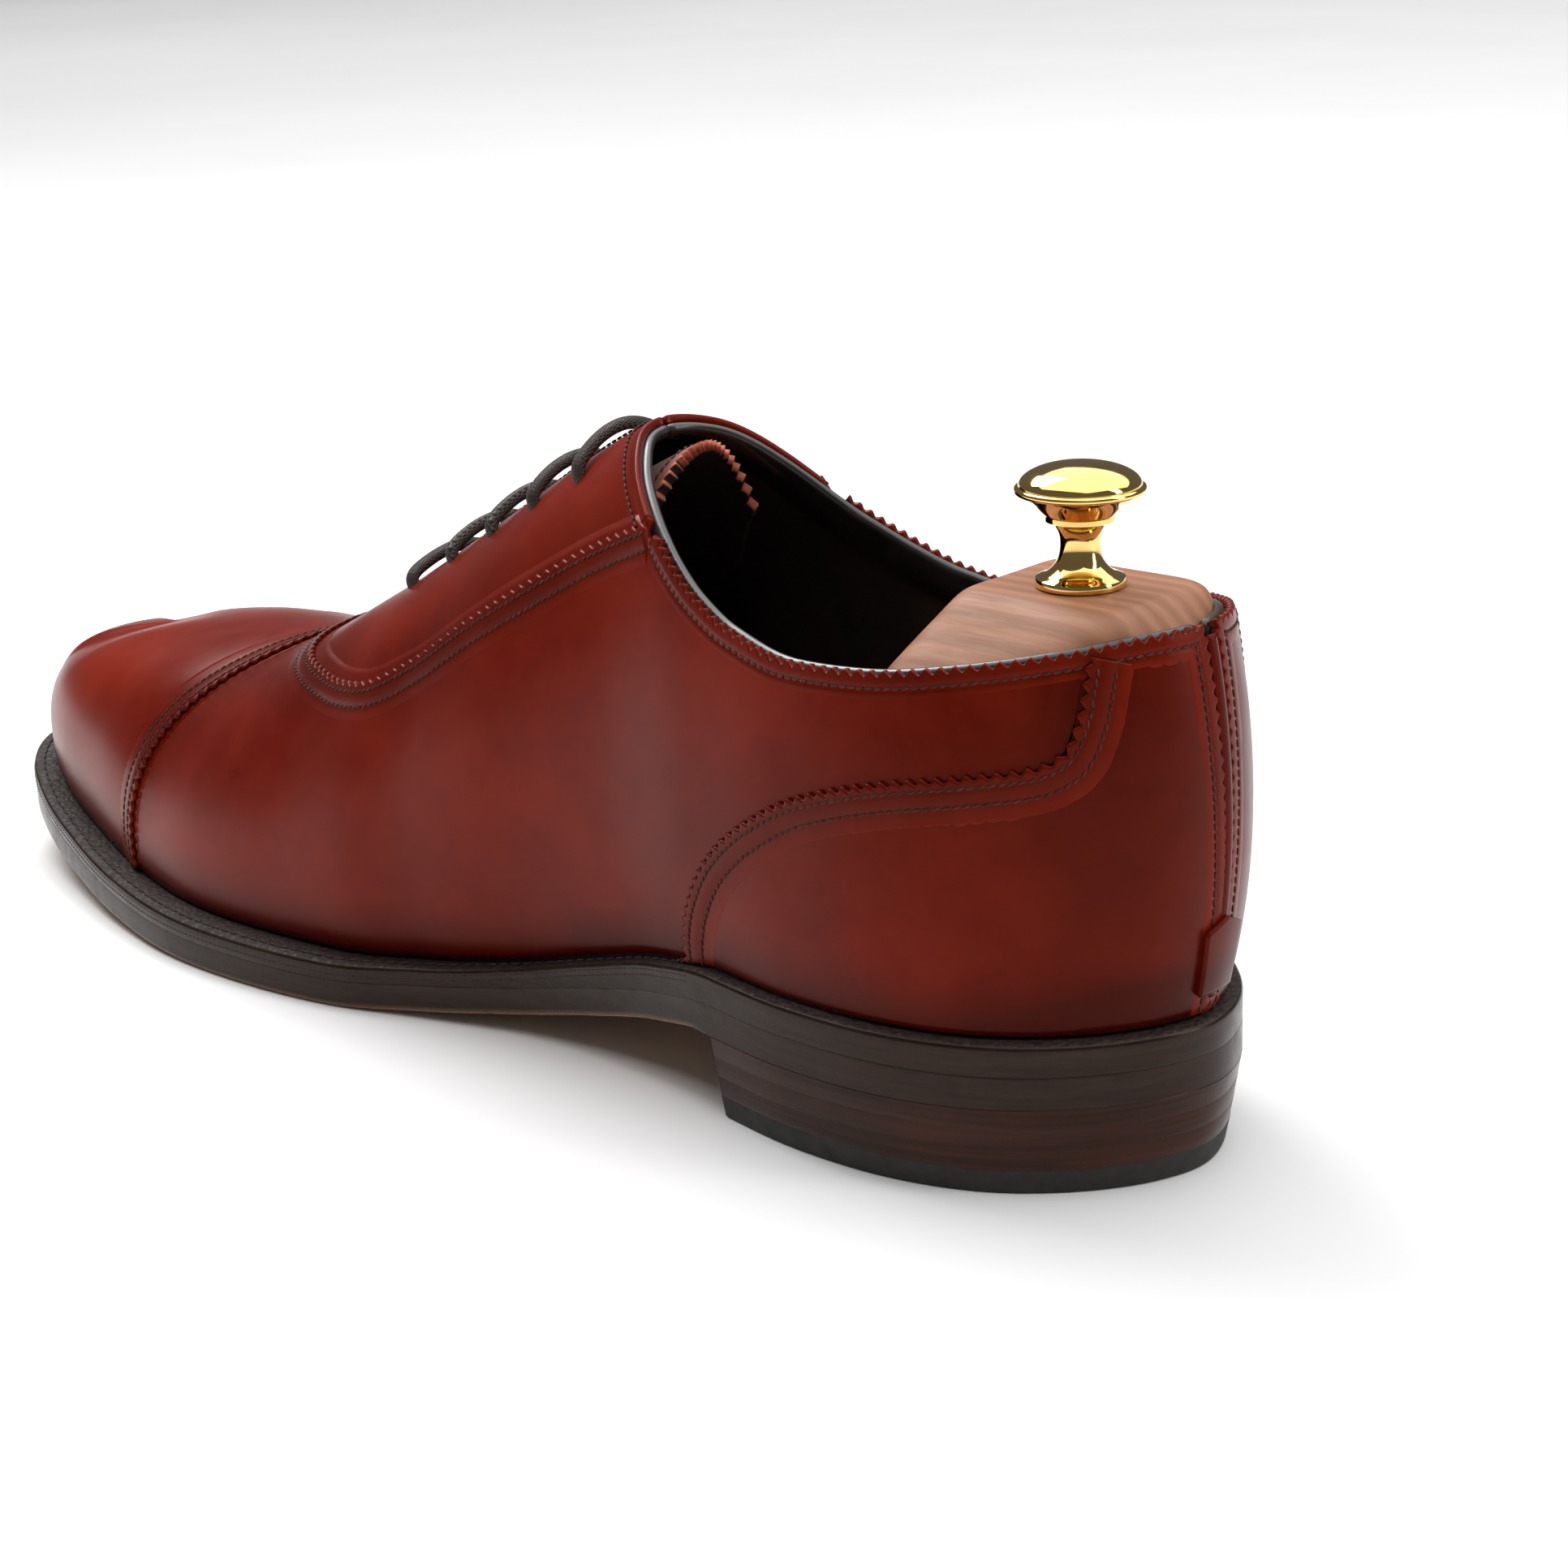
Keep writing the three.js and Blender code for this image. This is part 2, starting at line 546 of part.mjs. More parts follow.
// ---- Tongue and lace -------------------------------------------------------------------------
// The tongue's top face lies under the upper, the lining and the lace's inner runs.
const TONGUE_DEPTH = UPPER + PLY_GAP + LINING + PLY_GAP + LACE + PLY_GAP;
const TONGUE_BASE = -180; // front end, along the feather
const TONGUE_END = -68; // free end

function tongue() {
  const places = spread(TONGUE_BASE, TONGUE_END, 11);
  const half = (x) => lerp(0.3, 0.5, smooth(x, stretch(TONGUE_BASE), stretch(TONGUE_END))) * TONGUE_WIDTH;
  const low = (s) => tAcross(s, half(outline.getPoint(wrap(s)).x));
  return sheet(HALVES.map((side) => rows(side, places, low, all(1), 4)),
    all(TONGUE_DEPTH), all(TONGUE_DEPTH + TONGUE));
}

const EYELET_FIRST = -84; // lowest x of the top pair along the crown line
const EYELET_LAST = -133; // the pair nearest the toe

// Where eyelet k sits on one side: k = 0 is the pair nearest the toe.
function eyelet(k, side, across = EYELET_INSET) {
  const x = lerp(EYELET_LAST, EYELET_FIRST, k / (EYELETS - 1));
  let near = side < 0 ? 0.001 : 0.999;
  let far = HEEL;
  for (let i = 0; i < 40; i += 1) {
    const mid = (near + far) / 2;
    if (lastPoint(mid, tAcross(mid, across)).x < stretch(x)) near = mid;
    else far = mid;
  }
  return [near, tAcross(near, across)];
}

function eyeletCutter(k, side) {
  const [s, t] = eyelet(k, side);
  return rodBetween(skin(s, t, -2), skin(s, t, UPPER + PLY_GAP + LINING + 2), EYELET_HOLE / 2, 10);
}

const cutters = (side) => Array.from({ length: EYELETS }, (_, k) => eyeletCutter(k, side));

// The whole lace: straight bars outside, the runs between them inside, both ends tucked in.
function lace() {
  const over = -(LACE / 2 + GAP);
  const under = UPPER + PLY_GAP + LINING + PLY_GAP + LACE / 2;
  const route = [];
  const put = (k, side, across, depth) => {
    const [s, t] = eyelet(k, side, across);
    route.push(skin(s, t, depth));
  };
  const bar = (k, from) => {
    put(k, from, EYELET_INSET, under - 0.4);
    put(k, from, EYELET_INSET, (UPPER + LINING) / 2);
    put(k, from, EYELET_INSET - 0.4, over + 0.3);
    put(k, from, EYELET_INSET * 0.5, over);
    const [s] = eyelet(k, from, EYELET_INSET * 0.2);
    route.push(skin(s, 1, over));
    put(k, -from, EYELET_INSET * 0.5, over);
    put(k, -from, EYELET_INSET - 0.4, over + 0.3);
    put(k, -from, EYELET_INSET, (UPPER + LINING) / 2);
    put(k, -from, EYELET_INSET, under - 0.4);
  };
  const run = (from, to, side, across) => {
    for (const w of [0.25, 0.5, 0.75]) put(lerp(from, to, w), side, across, under);
  };
  const beside = EYELET_INSET + LACE * 1.3;
  run(3.6, 3.05, -1, beside);
  bar(3, -1);
  run(3, 1, 1, beside);
  bar(1, 1);
  run(1, 0, -1, EYELET_INSET - 0.6);
  bar(0, -1);
  run(0, 2, 1, EYELET_INSET - LACE * 1.2);
  bar(2, 1);
  run(2, 4, -1, EYELET_INSET - LACE * 1.2);
  bar(4, -1);
  run(4, 3.3, 1, EYELET_INSET - LACE * 1.2);
  const path = new THREE.CatmullRomCurve3(route, false, 'centripetal');
  const section = new THREE.Shape();
  section.absarc(0, 0, LACE / 2, 0, Math.PI * 2, false);
  return new THREE.ExtrudeGeometry(section, { steps: 80, extrudePath: path, curveSegments: 4 });
}

// ---- Bottom ----------------------------------------------------------------------------------
const outsoleTop = (x) => soleZ(x) + OUTSOLE;
const lifted = (level, by) => (x) => level(x) + by;
const ALL_ROWS = [...TOE_ROWS, ...spread(-186, -50, 14), -44, HEEL_BREAST_X, -25, -12, 0, 11, ...HEEL_ROWS];
const HEEL_PLATE_ROWS = [HEEL_BREAST_X, -25, -12, 0, 11, ...HEEL_ROWS];

const nailCentres = [[-26, -22], [2, -24], [24, 0], [2, 22], [-26, 20]];
const NAIL = 2.2; // diameter of the top piece's nails
const NAIL_LENGTH = 9; // through the top piece into the first lifts

function nail([x, y], radius = NAIL / 2, margin = 0) {
  return rodBetween(new THREE.Vector3(stretch(x), widen(y), GAP - margin),
    new THREE.Vector3(stretch(x), widen(y), GAP + NAIL_LENGTH + margin), radius, 12);
}

const nailHoles = () => nailCentres.map((c) => nail(c, NAIL / 2 + 0.1, GAP + 0.1));

function heelLayer(low, high) {
  const insetAt = (z) => all(HEEL_TAPER * (1 - z / HEEL_HEIGHT));
  const layer = plate(HEEL_PLATE_ROWS, insetAt(low), insetAt(high), all(low), all(high));
  return low < GAP + NAIL_LENGTH ? cut(layer, nailHoles()) : layer;
}

const WAIST_END = -44; // where welt, rib and cork end and the heel seat begins
const ringValues = (fromX) => {
  const n = 40;
  const start = sAt(stretch(fromX), 1) - 1;
  const end = sAt(stretch(fromX), -1);
  return Array.from({ length: n + 1 }, (_, i) => lerp(start, end, i / n));
};
const seatValues = () => {
  const n = 24;
  const start = sAt(stretch(WAIST_END), -1);
  const end = sAt(stretch(WAIST_END), 1);
  return Array.from({ length: n + 1 }, (_, i) => lerp(start + 0.002, end - 0.002, i / n));
};
const RIB = 2.4; // width of the insole's rib
const RIB_INSET = WELT_WIDTH + GAP;
const CORE_INSET = RIB_INSET + RIB + GAP;
const FRONT_ROWS = [-255, -250, -243, -234, -223, -210, -198, ...spread(-186, -50, 14), WAIST_END - 1];
const SEAT_ROWS = [WAIST_END + 1, -25, -12, 0, 11, 20, 24];

function shankPlate(grow) {
  const from = -104 - grow;
  const to = -47 + grow;
  const half = SHANK_WIDTH / 2 + grow;
  const places = spread(from, to, 8);
  const line = (y, lift) => places.map((x) => new THREE.Vector3(stretch(x), y, weltTop(stretch(x)) + lift));
  const low = -SHANK - 2 * grow;
  const sides = [[-half, low], [half, low], [half, grow], [-half, grow]];
  const path = sides.map(([y, lift]) => line(y + 2, lift));
  return geometryOf([
    ...gridTriangles([...path, path[0]]),
    [path[0][0], path[2][0], path[1][0]], [path[0][0], path[3][0], path[2][0]],
    [path[0][8], path[1][8], path[2][8]], [path[0][8], path[2][8], path[3][8]],
  ]);
}

function corkFiller() {
  const inset = all(CORE_INSET);
  const filler = plate(FRONT_ROWS, inset, inset, lifted(outsoleTop, GAP), weltTop);
  return cut(filler, [shankPlate(GAP)]);
}

// ---- Shoe tree ---------------------------------------------------------------------------------
const insoleTop = (x) => weltTop(x) + GAP + INSOLE;
const TREE_FLOOR = insoleTop(0) + SOCK + 2 * GAP + 1.2;

// The solid space inside the shoe between two places, a depth below the last's surface.
function cavity(places, depth, floor) {
  const profile = (x, side) => {
    const s = typeof x === 'string' ? { toe: side < 0 ? 0 : 1, heel: HEEL }[x] : sAt(stretch(x), side);
    const points = Array.from({ length: TOE_CELLS + 1 }, (_, j) => {
      const t = lerp(LINING_LOW, 1, j / TOE_CELLS);
      return skin(s, t, depth(s, t));
    });
    points[0].z = floor(points[0].x);
    return points;
  };
  const outer = places.map((x) => profile(x, -1));
  const inner = places.map((x) => profile(x, 1));
  outer.forEach((row, i) => inner[i][TOE_CELLS].copy(row[TOE_CELLS]));
  for (const [i, x] of places.entries()) {
    if (typeof x === 'string') inner[i].forEach((p, j) => p.copy(outer[i][j]));
  }
  const last = places.length - 1;
  return geometryOf([
    ...gridTriangles(outer),
    ...gridTriangles(inner, true),
    ...gridTriangles([outer.map((r) => r[0]), inner.map((r) => r[0])]),
    ...gridTriangles([outer[0], inner[0]], true),
    ...gridTriangles([outer[last], inner[last]]),
  ]);
}

function prism(points, depth) {
  const shape = new THREE.Shape(points.map(([x, z]) => new THREE.Vector2(x, z)));
  const geometry = new THREE.ExtrudeGeometry(shape, { depth, bevelEnabled: false });
  return geometry.rotateX(Math.PI / 2).translate(0, depth / 2, 0);
}

const tubeFront = new THREE.Vector3(stretch(-150), 8, 40);
const tubeRear = new THREE.Vector3(stretch(-8), 0, 52);
const tubeAxis = new THREE.Vector3().subVectors(tubeRear, tubeFront).normalize();
const onTube = (x) => tubeFront.clone().addScaledVector(tubeAxis, (stretch(x) - tubeFront.x) / tubeAxis.x);
const TUBE_START = -190;
const TUBE_END = -38;
const ROD_START = -120;
const ROD_END = 6;
const ROD = 7; // rod diameter
const TUBE_END_WALL = 3; // closed toe end of the tube
const SPRING_WIRE = 1.1;
const KNOB_SCREW = 5;

function heelBlock() {
  const depth = (s, t) => liningInside(s, t) + TREE_CLEARANCE;
  const places = [-58, -46, -34, -22, -10, 0, 10, 16, 21, 25, 29, 32, 34.5, 36.5, 'heel'];
  const room = solidOf(cavity(places, depth, all(TREE_FLOOR - 2)));
  const travel = tubeAxis.clone().multiplyScalar(TREE_TRAVEL);
  const clear = room.intersect(room.translate([travel.x, travel.y, travel.z]));
  const shoulder = TREE_TOP - TREE_BEVEL;
  const front = stretch(TREE_FRONT_X);
  const rear = stretch(TREE_REAR_X);
  const lengthwise = prism([[front, TREE_TOP], [front - 6, shoulder], [front - 13, 48],
    [front - 13, TREE_FLOOR], [60, TREE_FLOOR], [60, shoulder], [rear + TREE_BEVEL_OUT, shoulder],
    [rear, TREE_TOP]], 2 * WIDTH);
  const half = TREE_TOP_WIDTH / 2;
  const out = half + TREE_BEVEL_OUT;
  const crosswise = prism([[half, TREE_TOP], [out, shoulder], [out, TREE_FLOOR], [-out, TREE_FLOOR],
    [-out, shoulder], [-half, TREE_TOP]], 2 * LENGTH).rotateZ(Math.PI / 2);
  const block = clear.intersect(solidOf(lengthwise)).intersect(solidOf(crosswise));
  const bores = [
    rodBetween(onTube(-30), onTube(ROD_END).addScaledVector(tubeAxis, GAP), ROD / 2 + 0.1),
    rodBetween(new THREE.Vector3(KNOB_X, 0, TREE_TOP - 22), new THREE.Vector3(KNOB_X, 0, TREE_TOP + 5),
      KNOB_SCREW / 2 + 0.1),
  ];
  return geometryFrom(bores.reduce((solid, bore) => solid.subtract(solidOf(bore)), block));
}

function toeHalf(side) {
  const underTongue = (s) => smooth(outline.getPoint(wrap(s)).x, stretch(-200), stretch(-184));
  const tongueDepth = (s) => (TONGUE_DEPTH + TONGUE) * underTongue(s);
  const depth = (s, t) => TREE_CLEARANCE + Math.max(liningInside(s, t), tongueDepth(s));
  const places = [...TOE_ROWS, -196, -186, -177, -168];
  const room = solidOf(cavity(places, depth, lifted(insoleTop, GAP + 0.3)));
  const width = 80;
  const middle = -4;
  const from = side < 0 ? middle - width : middle + TOE_SPLIT;
  const part = new THREE.BoxGeometry(300, width, 200).translate(stretch(-150), from + width / 2, 60);
  const boreStart = onTube(TUBE_START).addScaledVector(tubeAxis, -GAP);
  const bore = rodBetween(boreStart, onTube(-100), TUBE / 2 + GAP / 2, 20);
  const pins = spreaderPins().map((pin) => pin.hole);
  const half = room.intersect(solidOf(part)).subtract(solidOf(bore));
  return geometryFrom(pins.reduce((solid, pin) => solid.subtract(solidOf(pin)), half));
}

const PIN_HEIGHT = 25; // above the ground
function spreaderPins() {
  return [-215, -180].map((x) => {
    const from = new THREE.Vector3(stretch(x), widen(-16), PIN_HEIGHT);
    const to = new THREE.Vector3(stretch(x), widen(12), PIN_HEIGHT);
    const grown = (p, by) => p.clone().add(new THREE.Vector3(0, by, 0));
    return {
      pin: rodBetween(from, to, PIN / 2, 12),
      hole: rodBetween(grown(from, -TOE_SPLIT), grown(to, GAP), PIN / 2 + 0.1, 12),
    };
  });
}

function tube() {
  const length = onTube(TUBE_END).distanceTo(onTube(TUBE_START));
  const profile = [[0, 0], [TUBE / 2, 0], [TUBE / 2, length], [TUBE / 2 - TUBE_WALL, length],
    [TUBE / 2 - TUBE_WALL, TUBE_END_WALL], [0, TUBE_END_WALL]];
  const geometry = new THREE.LatheGeometry(profile.map(([r, y]) => new THREE.Vector2(r, y)), 20);
  const turn = new THREE.Quaternion().setFromUnitVectors(new THREE.Vector3(0, 1, 0), tubeAxis);
  const start = onTube(TUBE_START);
  return geometry.applyQuaternion(turn).translate(start.x, start.y, start.z);
}

function rod() {
  return rodBetween(onTube(ROD_START), onTube(ROD_END), ROD / 2);
}

function spring() {
  const start = onTube(TUBE_START).addScaledVector(tubeAxis, TUBE_END_WALL + GAP + SPRING_WIRE / 2);
  const end = onTube(ROD_START).addScaledVector(tubeAxis, -GAP - SPRING_WIRE / 2);
  const radius = TUBE / 2 - TUBE_WALL - GAP - SPRING_WIRE / 2;
  const turns = 8;
  const across = new THREE.Vector3(0, 1, 0).cross(tubeAxis).normalize();
  const other = new THREE.Vector3().crossVectors(tubeAxis, across);
  const points = Array.from({ length: turns * 8 + 1 }, (_, i) => {
    const angle = i / 8 * Math.PI * 2;
    return start.clone().lerp(end, i / (turns * 8))
      .addScaledVector(across, Math.cos(angle) * radius)
      .addScaledVector(other, Math.sin(angle) * radius);
  });
  const section = new THREE.Shape();
  section.absarc(0, 0, SPRING_WIRE / 2, 0, Math.PI * 2, false);
  const path = new THREE.CatmullRomCurve3(points);
  return new THREE.ExtrudeGeometry(section, { steps: turns * 8, extrudePath: path, curveSegments: 3 });
}

// Mushroom knob: flared foot, narrow neck, stepped dish and a domed crown.
function knob() {
  const r = KNOB / 2;
  const h = KNOB_HEIGHT;
  const profile = [[KNOB_SCREW / 2 + 0.1, 0], [r * 0.68, 0], [r * 0.7, h * 0.05], [r * 0.66, h * 0.1],
    [r * 0.42, h * 0.16], [r * 0.32, h * 0.26], [r * 0.3, h * 0.36], [r * 0.36, h * 0.46],
    [r * 0.52, h * 0.53], [r * 0.54, h * 0.57], [r * 0.8, h * 0.67], [r * 0.97, h * 0.76], [r, h * 0.8],
    [r * 0.97, h * 0.84], [r * 0.8, h * 0.91], [r * 0.5, h * 0.97], [r * 0.2, h], [0, h],
    [0, h * 0.5], [KNOB_SCREW / 2 + 0.1, h * 0.5], [KNOB_SCREW / 2 + 0.1, 0]];
  const lathe = new THREE.LatheGeometry(profile.map(([a, b]) => new THREE.Vector2(a, b)), 20);
  return lathe.rotateX(Math.PI / 2).translate(KNOB_X, 0, TREE_TOP);
}

// ---- Assembly ----------------------------------------------------------------------------------
const shoe = new THREE.Group();
const finishes = {
  upper: { color: 0x6b1a10, roughness: 0.32 },
  lining: { color: 0x2a1a16, roughness: 0.7 },
  board: { color: 0x8a6f52, roughness: 0.85 },
  tongue: { color: 0x6e2415, roughness: 0.7 },
  binding: { color: 0x24201f, roughness: 0.5 },
  lace: { color: 0x2a1c16, roughness: 0.8 },
  sole: { color: 0x1f1714, roughness: 0.35 },
  rubber: { color: 0x262220, roughness: 0.6 },
  cork: { color: 0x9a7450, roughness: 0.95 },
  steel: { color: 0xa8abb0, roughness: 0.3, metalness: 1 },
  brass: { color: 0xd8a83e, roughness: 0.12, metalness: 1 },
  wood: { color: 0xb4764c, roughness: 0.55 },
};

function add(name, geometry, finish) {
  const mesh = new THREE.Mesh(geometry, new THREE.MeshStandardMaterial(finishes[finish]));
  mesh.name = name;
  shoe.add(mesh);
  return mesh;
}

const sideName = (side) => (side < 0 ? 'outer' : 'inner');

add('toe_cap', toeCap(), 'upper');
add('vamp', vamp(), 'upper');
add('vamp_lining', vampLining(), 'lining');
add('toe_puff', toePuff(), 'board');
add('heel_stiffener', heelStiffener(), 'board');
add('heel_lining', heelLining(), 'lining');
add('back_tab', backTab(), 'upper');
add('topline_binding', toplineBinding(), 'binding');
add('tongue', tongue(), 'tongue');
add('lace', lace(), 'lace');
for (const side of HALVES) {
  add(`facing_${sideName(side)}`, cut(facing(side, all(0), all(UPPER)), cutters(side)), 'upper');
  add(`quarter_lining_${sideName(side)}`, cut(quarterLining(side), cutters(side)), 'lining');
  add(`rear_quarter_${sideName(side)}`, rearQuarter(side), 'upper');
}

const weltUnder = lifted(outsoleTop, GAP);
const ribInset = all(RIB_INSET);
const ribEnd = all(RIB_INSET + RIB);
add('outsole', plate(ALL_ROWS, all(0), all(0), soleZ, outsoleTop), 'sole');
add('welt', band(ringValues(WAIST_END), all(0), all(WELT_WIDTH), weltUnder, weltTop), 'sole');
add('heel_rand', band(seatValues(), all(0), all(WELT_WIDTH), weltUnder, weltTop), 'sole');
add('insole_rib', band(ringValues(WAIST_END), ribInset, ribEnd, weltUnder, weltTop), 'board');
add('cork_filler', corkFiller(), 'cork');
add('seat_filler', plate(SEAT_ROWS, ribInset, ribInset, weltUnder, weltTop), 'board');
add('shank', shankPlate(0), 'steel');

const INSOLE_TOE = -255.5; // the insole stops short of the toe tip
const insolePlaces = [INSOLE_TOE, ...ALL_ROWS.filter((x) => x === 'heel' || x > INSOLE_TOE)];
const insoleInset = (x) => featherInset(x) + UPPER + STIFFENER + LINING + 5 * GAP;
add('insole', plate(insolePlaces, insoleInset, insoleInset, lifted(weltTop, GAP), insoleTop), 'board');
const sockPlaces = ALL_ROWS.filter((x) => x > -70 && x < 30);
const sockInset = (x) => insoleInset(x) + 0.8;
const sockTop = lifted(insoleTop, GAP + SOCK);
add('heel_sock', plate(sockPlaces, sockInset, sockInset, lifted(insoleTop, GAP), sockTop), 'lining');

const liftHeight = (HEEL_HEIGHT - TOP_PIECE) / LIFTS;
add('top_piece', heelLayer(0, TOP_PIECE), 'rubber');
for (let i = 0; i < LIFTS; i += 1) {
  add(`heel_lift_${i + 1}`, heelLayer(TOP_PIECE + i * liftHeight, TOP_PIECE + (i + 1) * liftHeight), 'sole');
}
nailCentres.forEach((centre, i) => add(`top_piece_nail_${i + 1}`, nail(centre), 'brass'));

add('tree_heel_block', heelBlock(), 'wood');
add('tree_toe_outer', toeHalf(-1), 'wood');
add('tree_toe_inner', toeHalf(1), 'wood');
add('tree_tube', tube(), 'brass');
add('tree_rod', rod(), 'steel');
add('tree_spring', spring(), 'steel');
spreaderPins().forEach(({ pin }, i) => add(`spreader_pin_${i + 1}`, pin, 'steel'));
add('tree_knob', knob(), 'brass');
add('knob_screw', rodBetween(new THREE.Vector3(KNOB_X, 0, TREE_TOP - 21.5),
  new THREE.Vector3(KNOB_X, 0, TREE_TOP + KNOB_HEIGHT * 0.5 - GAP), KNOB_SCREW / 2), 'steel');

export default shoe;
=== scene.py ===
"""Looks of a left cap-toe oxford shoe with a sprung shoe tree in it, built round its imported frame.

Shapes are worked out in millimetres and made in metres. +X runs from the toe to the heel, -Y is the
outer side, +Z is up, and the origin is on the ground at the middle of the heel's top piece.
"""
import math

import bmesh
import bpy
import numpy as np
from mathutils import Matrix, Vector
from mathutils.kdtree import KDTree


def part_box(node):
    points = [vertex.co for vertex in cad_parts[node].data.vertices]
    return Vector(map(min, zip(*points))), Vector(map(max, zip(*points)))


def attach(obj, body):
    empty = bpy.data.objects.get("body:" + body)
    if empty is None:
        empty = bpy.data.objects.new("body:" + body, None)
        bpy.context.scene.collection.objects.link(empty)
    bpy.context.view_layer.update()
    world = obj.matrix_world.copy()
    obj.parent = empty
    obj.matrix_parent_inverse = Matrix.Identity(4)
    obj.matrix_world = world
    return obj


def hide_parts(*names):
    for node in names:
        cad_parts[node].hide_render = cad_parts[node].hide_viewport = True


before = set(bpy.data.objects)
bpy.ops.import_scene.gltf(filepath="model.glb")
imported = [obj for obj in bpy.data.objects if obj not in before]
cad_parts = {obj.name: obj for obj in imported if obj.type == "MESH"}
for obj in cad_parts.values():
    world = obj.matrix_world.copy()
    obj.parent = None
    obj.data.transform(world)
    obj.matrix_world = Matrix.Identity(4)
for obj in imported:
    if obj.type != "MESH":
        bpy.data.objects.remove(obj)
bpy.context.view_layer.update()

MM = 0.001


def box_mm(node):
    """Lowest and highest corner of a frame node, in millimetres."""
    low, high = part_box(node)
    return np.array(low) / MM, np.array(high) / MM


# ---- Sizes that the frame gives ----
sole_low, sole_high = box_mm("outsole")
LENGTH = sole_high[0] - sole_low[0]
WIDTH = sole_high[1] - sole_low[1]
BACK_X = sole_high[0]
HEEL_HEIGHT = box_mm("heel_lift_3")[1][2]
OUTSOLE = sole_high[2] - HEEL_HEIGHT
KNOB_LOW, KNOB_HIGH = box_mm("tree_knob")
TREE_TOP = KNOB_LOW[2]
TREE_FLOOR = box_mm("tree_heel_block")[0][2]

# ---- Sizes that the pieces share with the frame's design ----
TOE_SPRING = 12.5  # height of the sole's tip above the ground
TOE_Y = 8.0  # how far the toe tip swings to the inner side
WELT = 3.3  # welt thickness
RAND = 5.2  # rand thickness round the heel seat
WELT_WIDTH = 12.0
HEEL_BREAST_X = -38.0
HEEL_TAPER = 2.4
GAP = 0.3  # clearance between touching pieces
PLY_GAP = 0.7  # clearance between the plies of the upper
UPPER = 1.3  # leather of the upper
LINING = 1.0
STIFFENER = 1.2
TONGUE = 1.8
TONGUE_WIDTH = 50.0
LACE = 2.4  # lace diameter
EYELETS = 5
EYELET_INSET = 12.5
SLIT = 1.2  # gap between the two facings
TREE_CLEARANCE = 0.9
TREE_TOP_WIDTH = 26.0
TREE_BEVEL = 11.0  # height of the slopes round the block's flat top
TREE_BEVEL_OUT = 14.0  # how far those slopes run out
TREE_FRONT_X = -3.0
TREE_REAR_X = 27.0
TONGUE_BASE = -180.0
TONGUE_END = -68.0
EYELET_FIRST = -84.0
EYELET_LAST = -133.0
WAIST_END = -44.0
KNOB_X = 12.0
KNOB_SCREW = 5.0
ROD = 7.0
ROD_FRONT = np.array([-150.0, 8.0, 40.0])  # the rod's axis runs through these two points
ROD_REAR = np.array([-8.0, 0.0, 52.0])
TREE_TRAVEL = 15.0  # how far the tree's heel block slides towards the toe
TAB = 1.0  # leather of the back tab
TAB_TOP = 43.0  # height of the tab's point above the ground

# ---- Sizes of the fine work ----
TOOTH_PITCH = 2.3  # pinked edge, tooth to tooth
TOOTH_DEPTH = 1.15
STITCH_PITCH = 1.55
STITCH = 0.46  # thread diameter
ROW_NEAR = 2.1  # first stitch row, from the teeth's tips
ROW_FAR = 4.9  # second stitch row
BAND_WIDTH = 8.0  # stitched band along a lapped seam
LAP = 0.85  # how far a lapped edge stands above the leather under it


def stretch(x):
    """Places along a 302 mm shoe."""
    return BACK_X + (np.asarray(x, float) - 38) * LENGTH / 302


def widen(y):
    """Places across a 97 mm shoe."""
    return np.asarray(y, float) * WIDTH / 97


def smooth(v, a, b):
    w = np.clip((np.asarray(v, float) - a) / (b - a), 0, 1)
    return w * w * (3 - 2 * w)


def table(*points):
    """A monotone cubic through (place, value) points."""
    xs = stretch([p[0] for p in points])
    vs = np.array([p[1] for p in points], float)
    slope = np.diff(vs) / np.diff(xs)
    tangent = np.concatenate([slope[:1], np.zeros(len(vs) - 2), slope[-1:]])
    product = slope[:-1] * slope[1:]
    same = product > 0
    tangent[1:-1][same] = 2 * product[same] / (slope[:-1] + slope[1:])[same]

    def value(x):
        x = np.clip(x, xs[0], xs[-1])
        i = np.clip(np.searchsorted(xs, x, side="right") - 1, 0, len(xs) - 2)
        h = xs[i + 1] - xs[i]
        w = (x - xs[i]) / h
        square = 3 * slope[i] - 2 * tangent[i] - tangent[i + 1]
        cube = tangent[i] + tangent[i + 1] - 2 * slope[i]
        return vs[i] + h * w * (tangent[i] + w * (square + w * cube))

    return value


def catmull_rom(p0, p1, p2, p3):
    """A centripetal span from p1 to p2, as its first, second and third order terms."""
    d0, d1, d2 = (np.maximum(np.sqrt(np.linalg.norm(b - a, axis=-1, keepdims=True)), 1e-3)
                  for a, b in ((p0, p1), (p1, p2), (p2, p3)))
    start = ((p1 - p0) / d0 - (p2 - p0) / (d0 + d1) + (p2 - p1) / d1) * d1
    end = ((p2 - p1) / d1 - (p3 - p1) / (d1 + d2) + (p3 - p2) / d2) * d1
    return start, 3 * (p2 - p1) - 2 * start - end, 2 * (p1 - p2) + start + end


def run_along(points):
    """Distance along a line of points, at each of them."""
    return np.concatenate([[0], np.cumsum(np.linalg.norm(np.diff(points, axis=0), axis=1))])


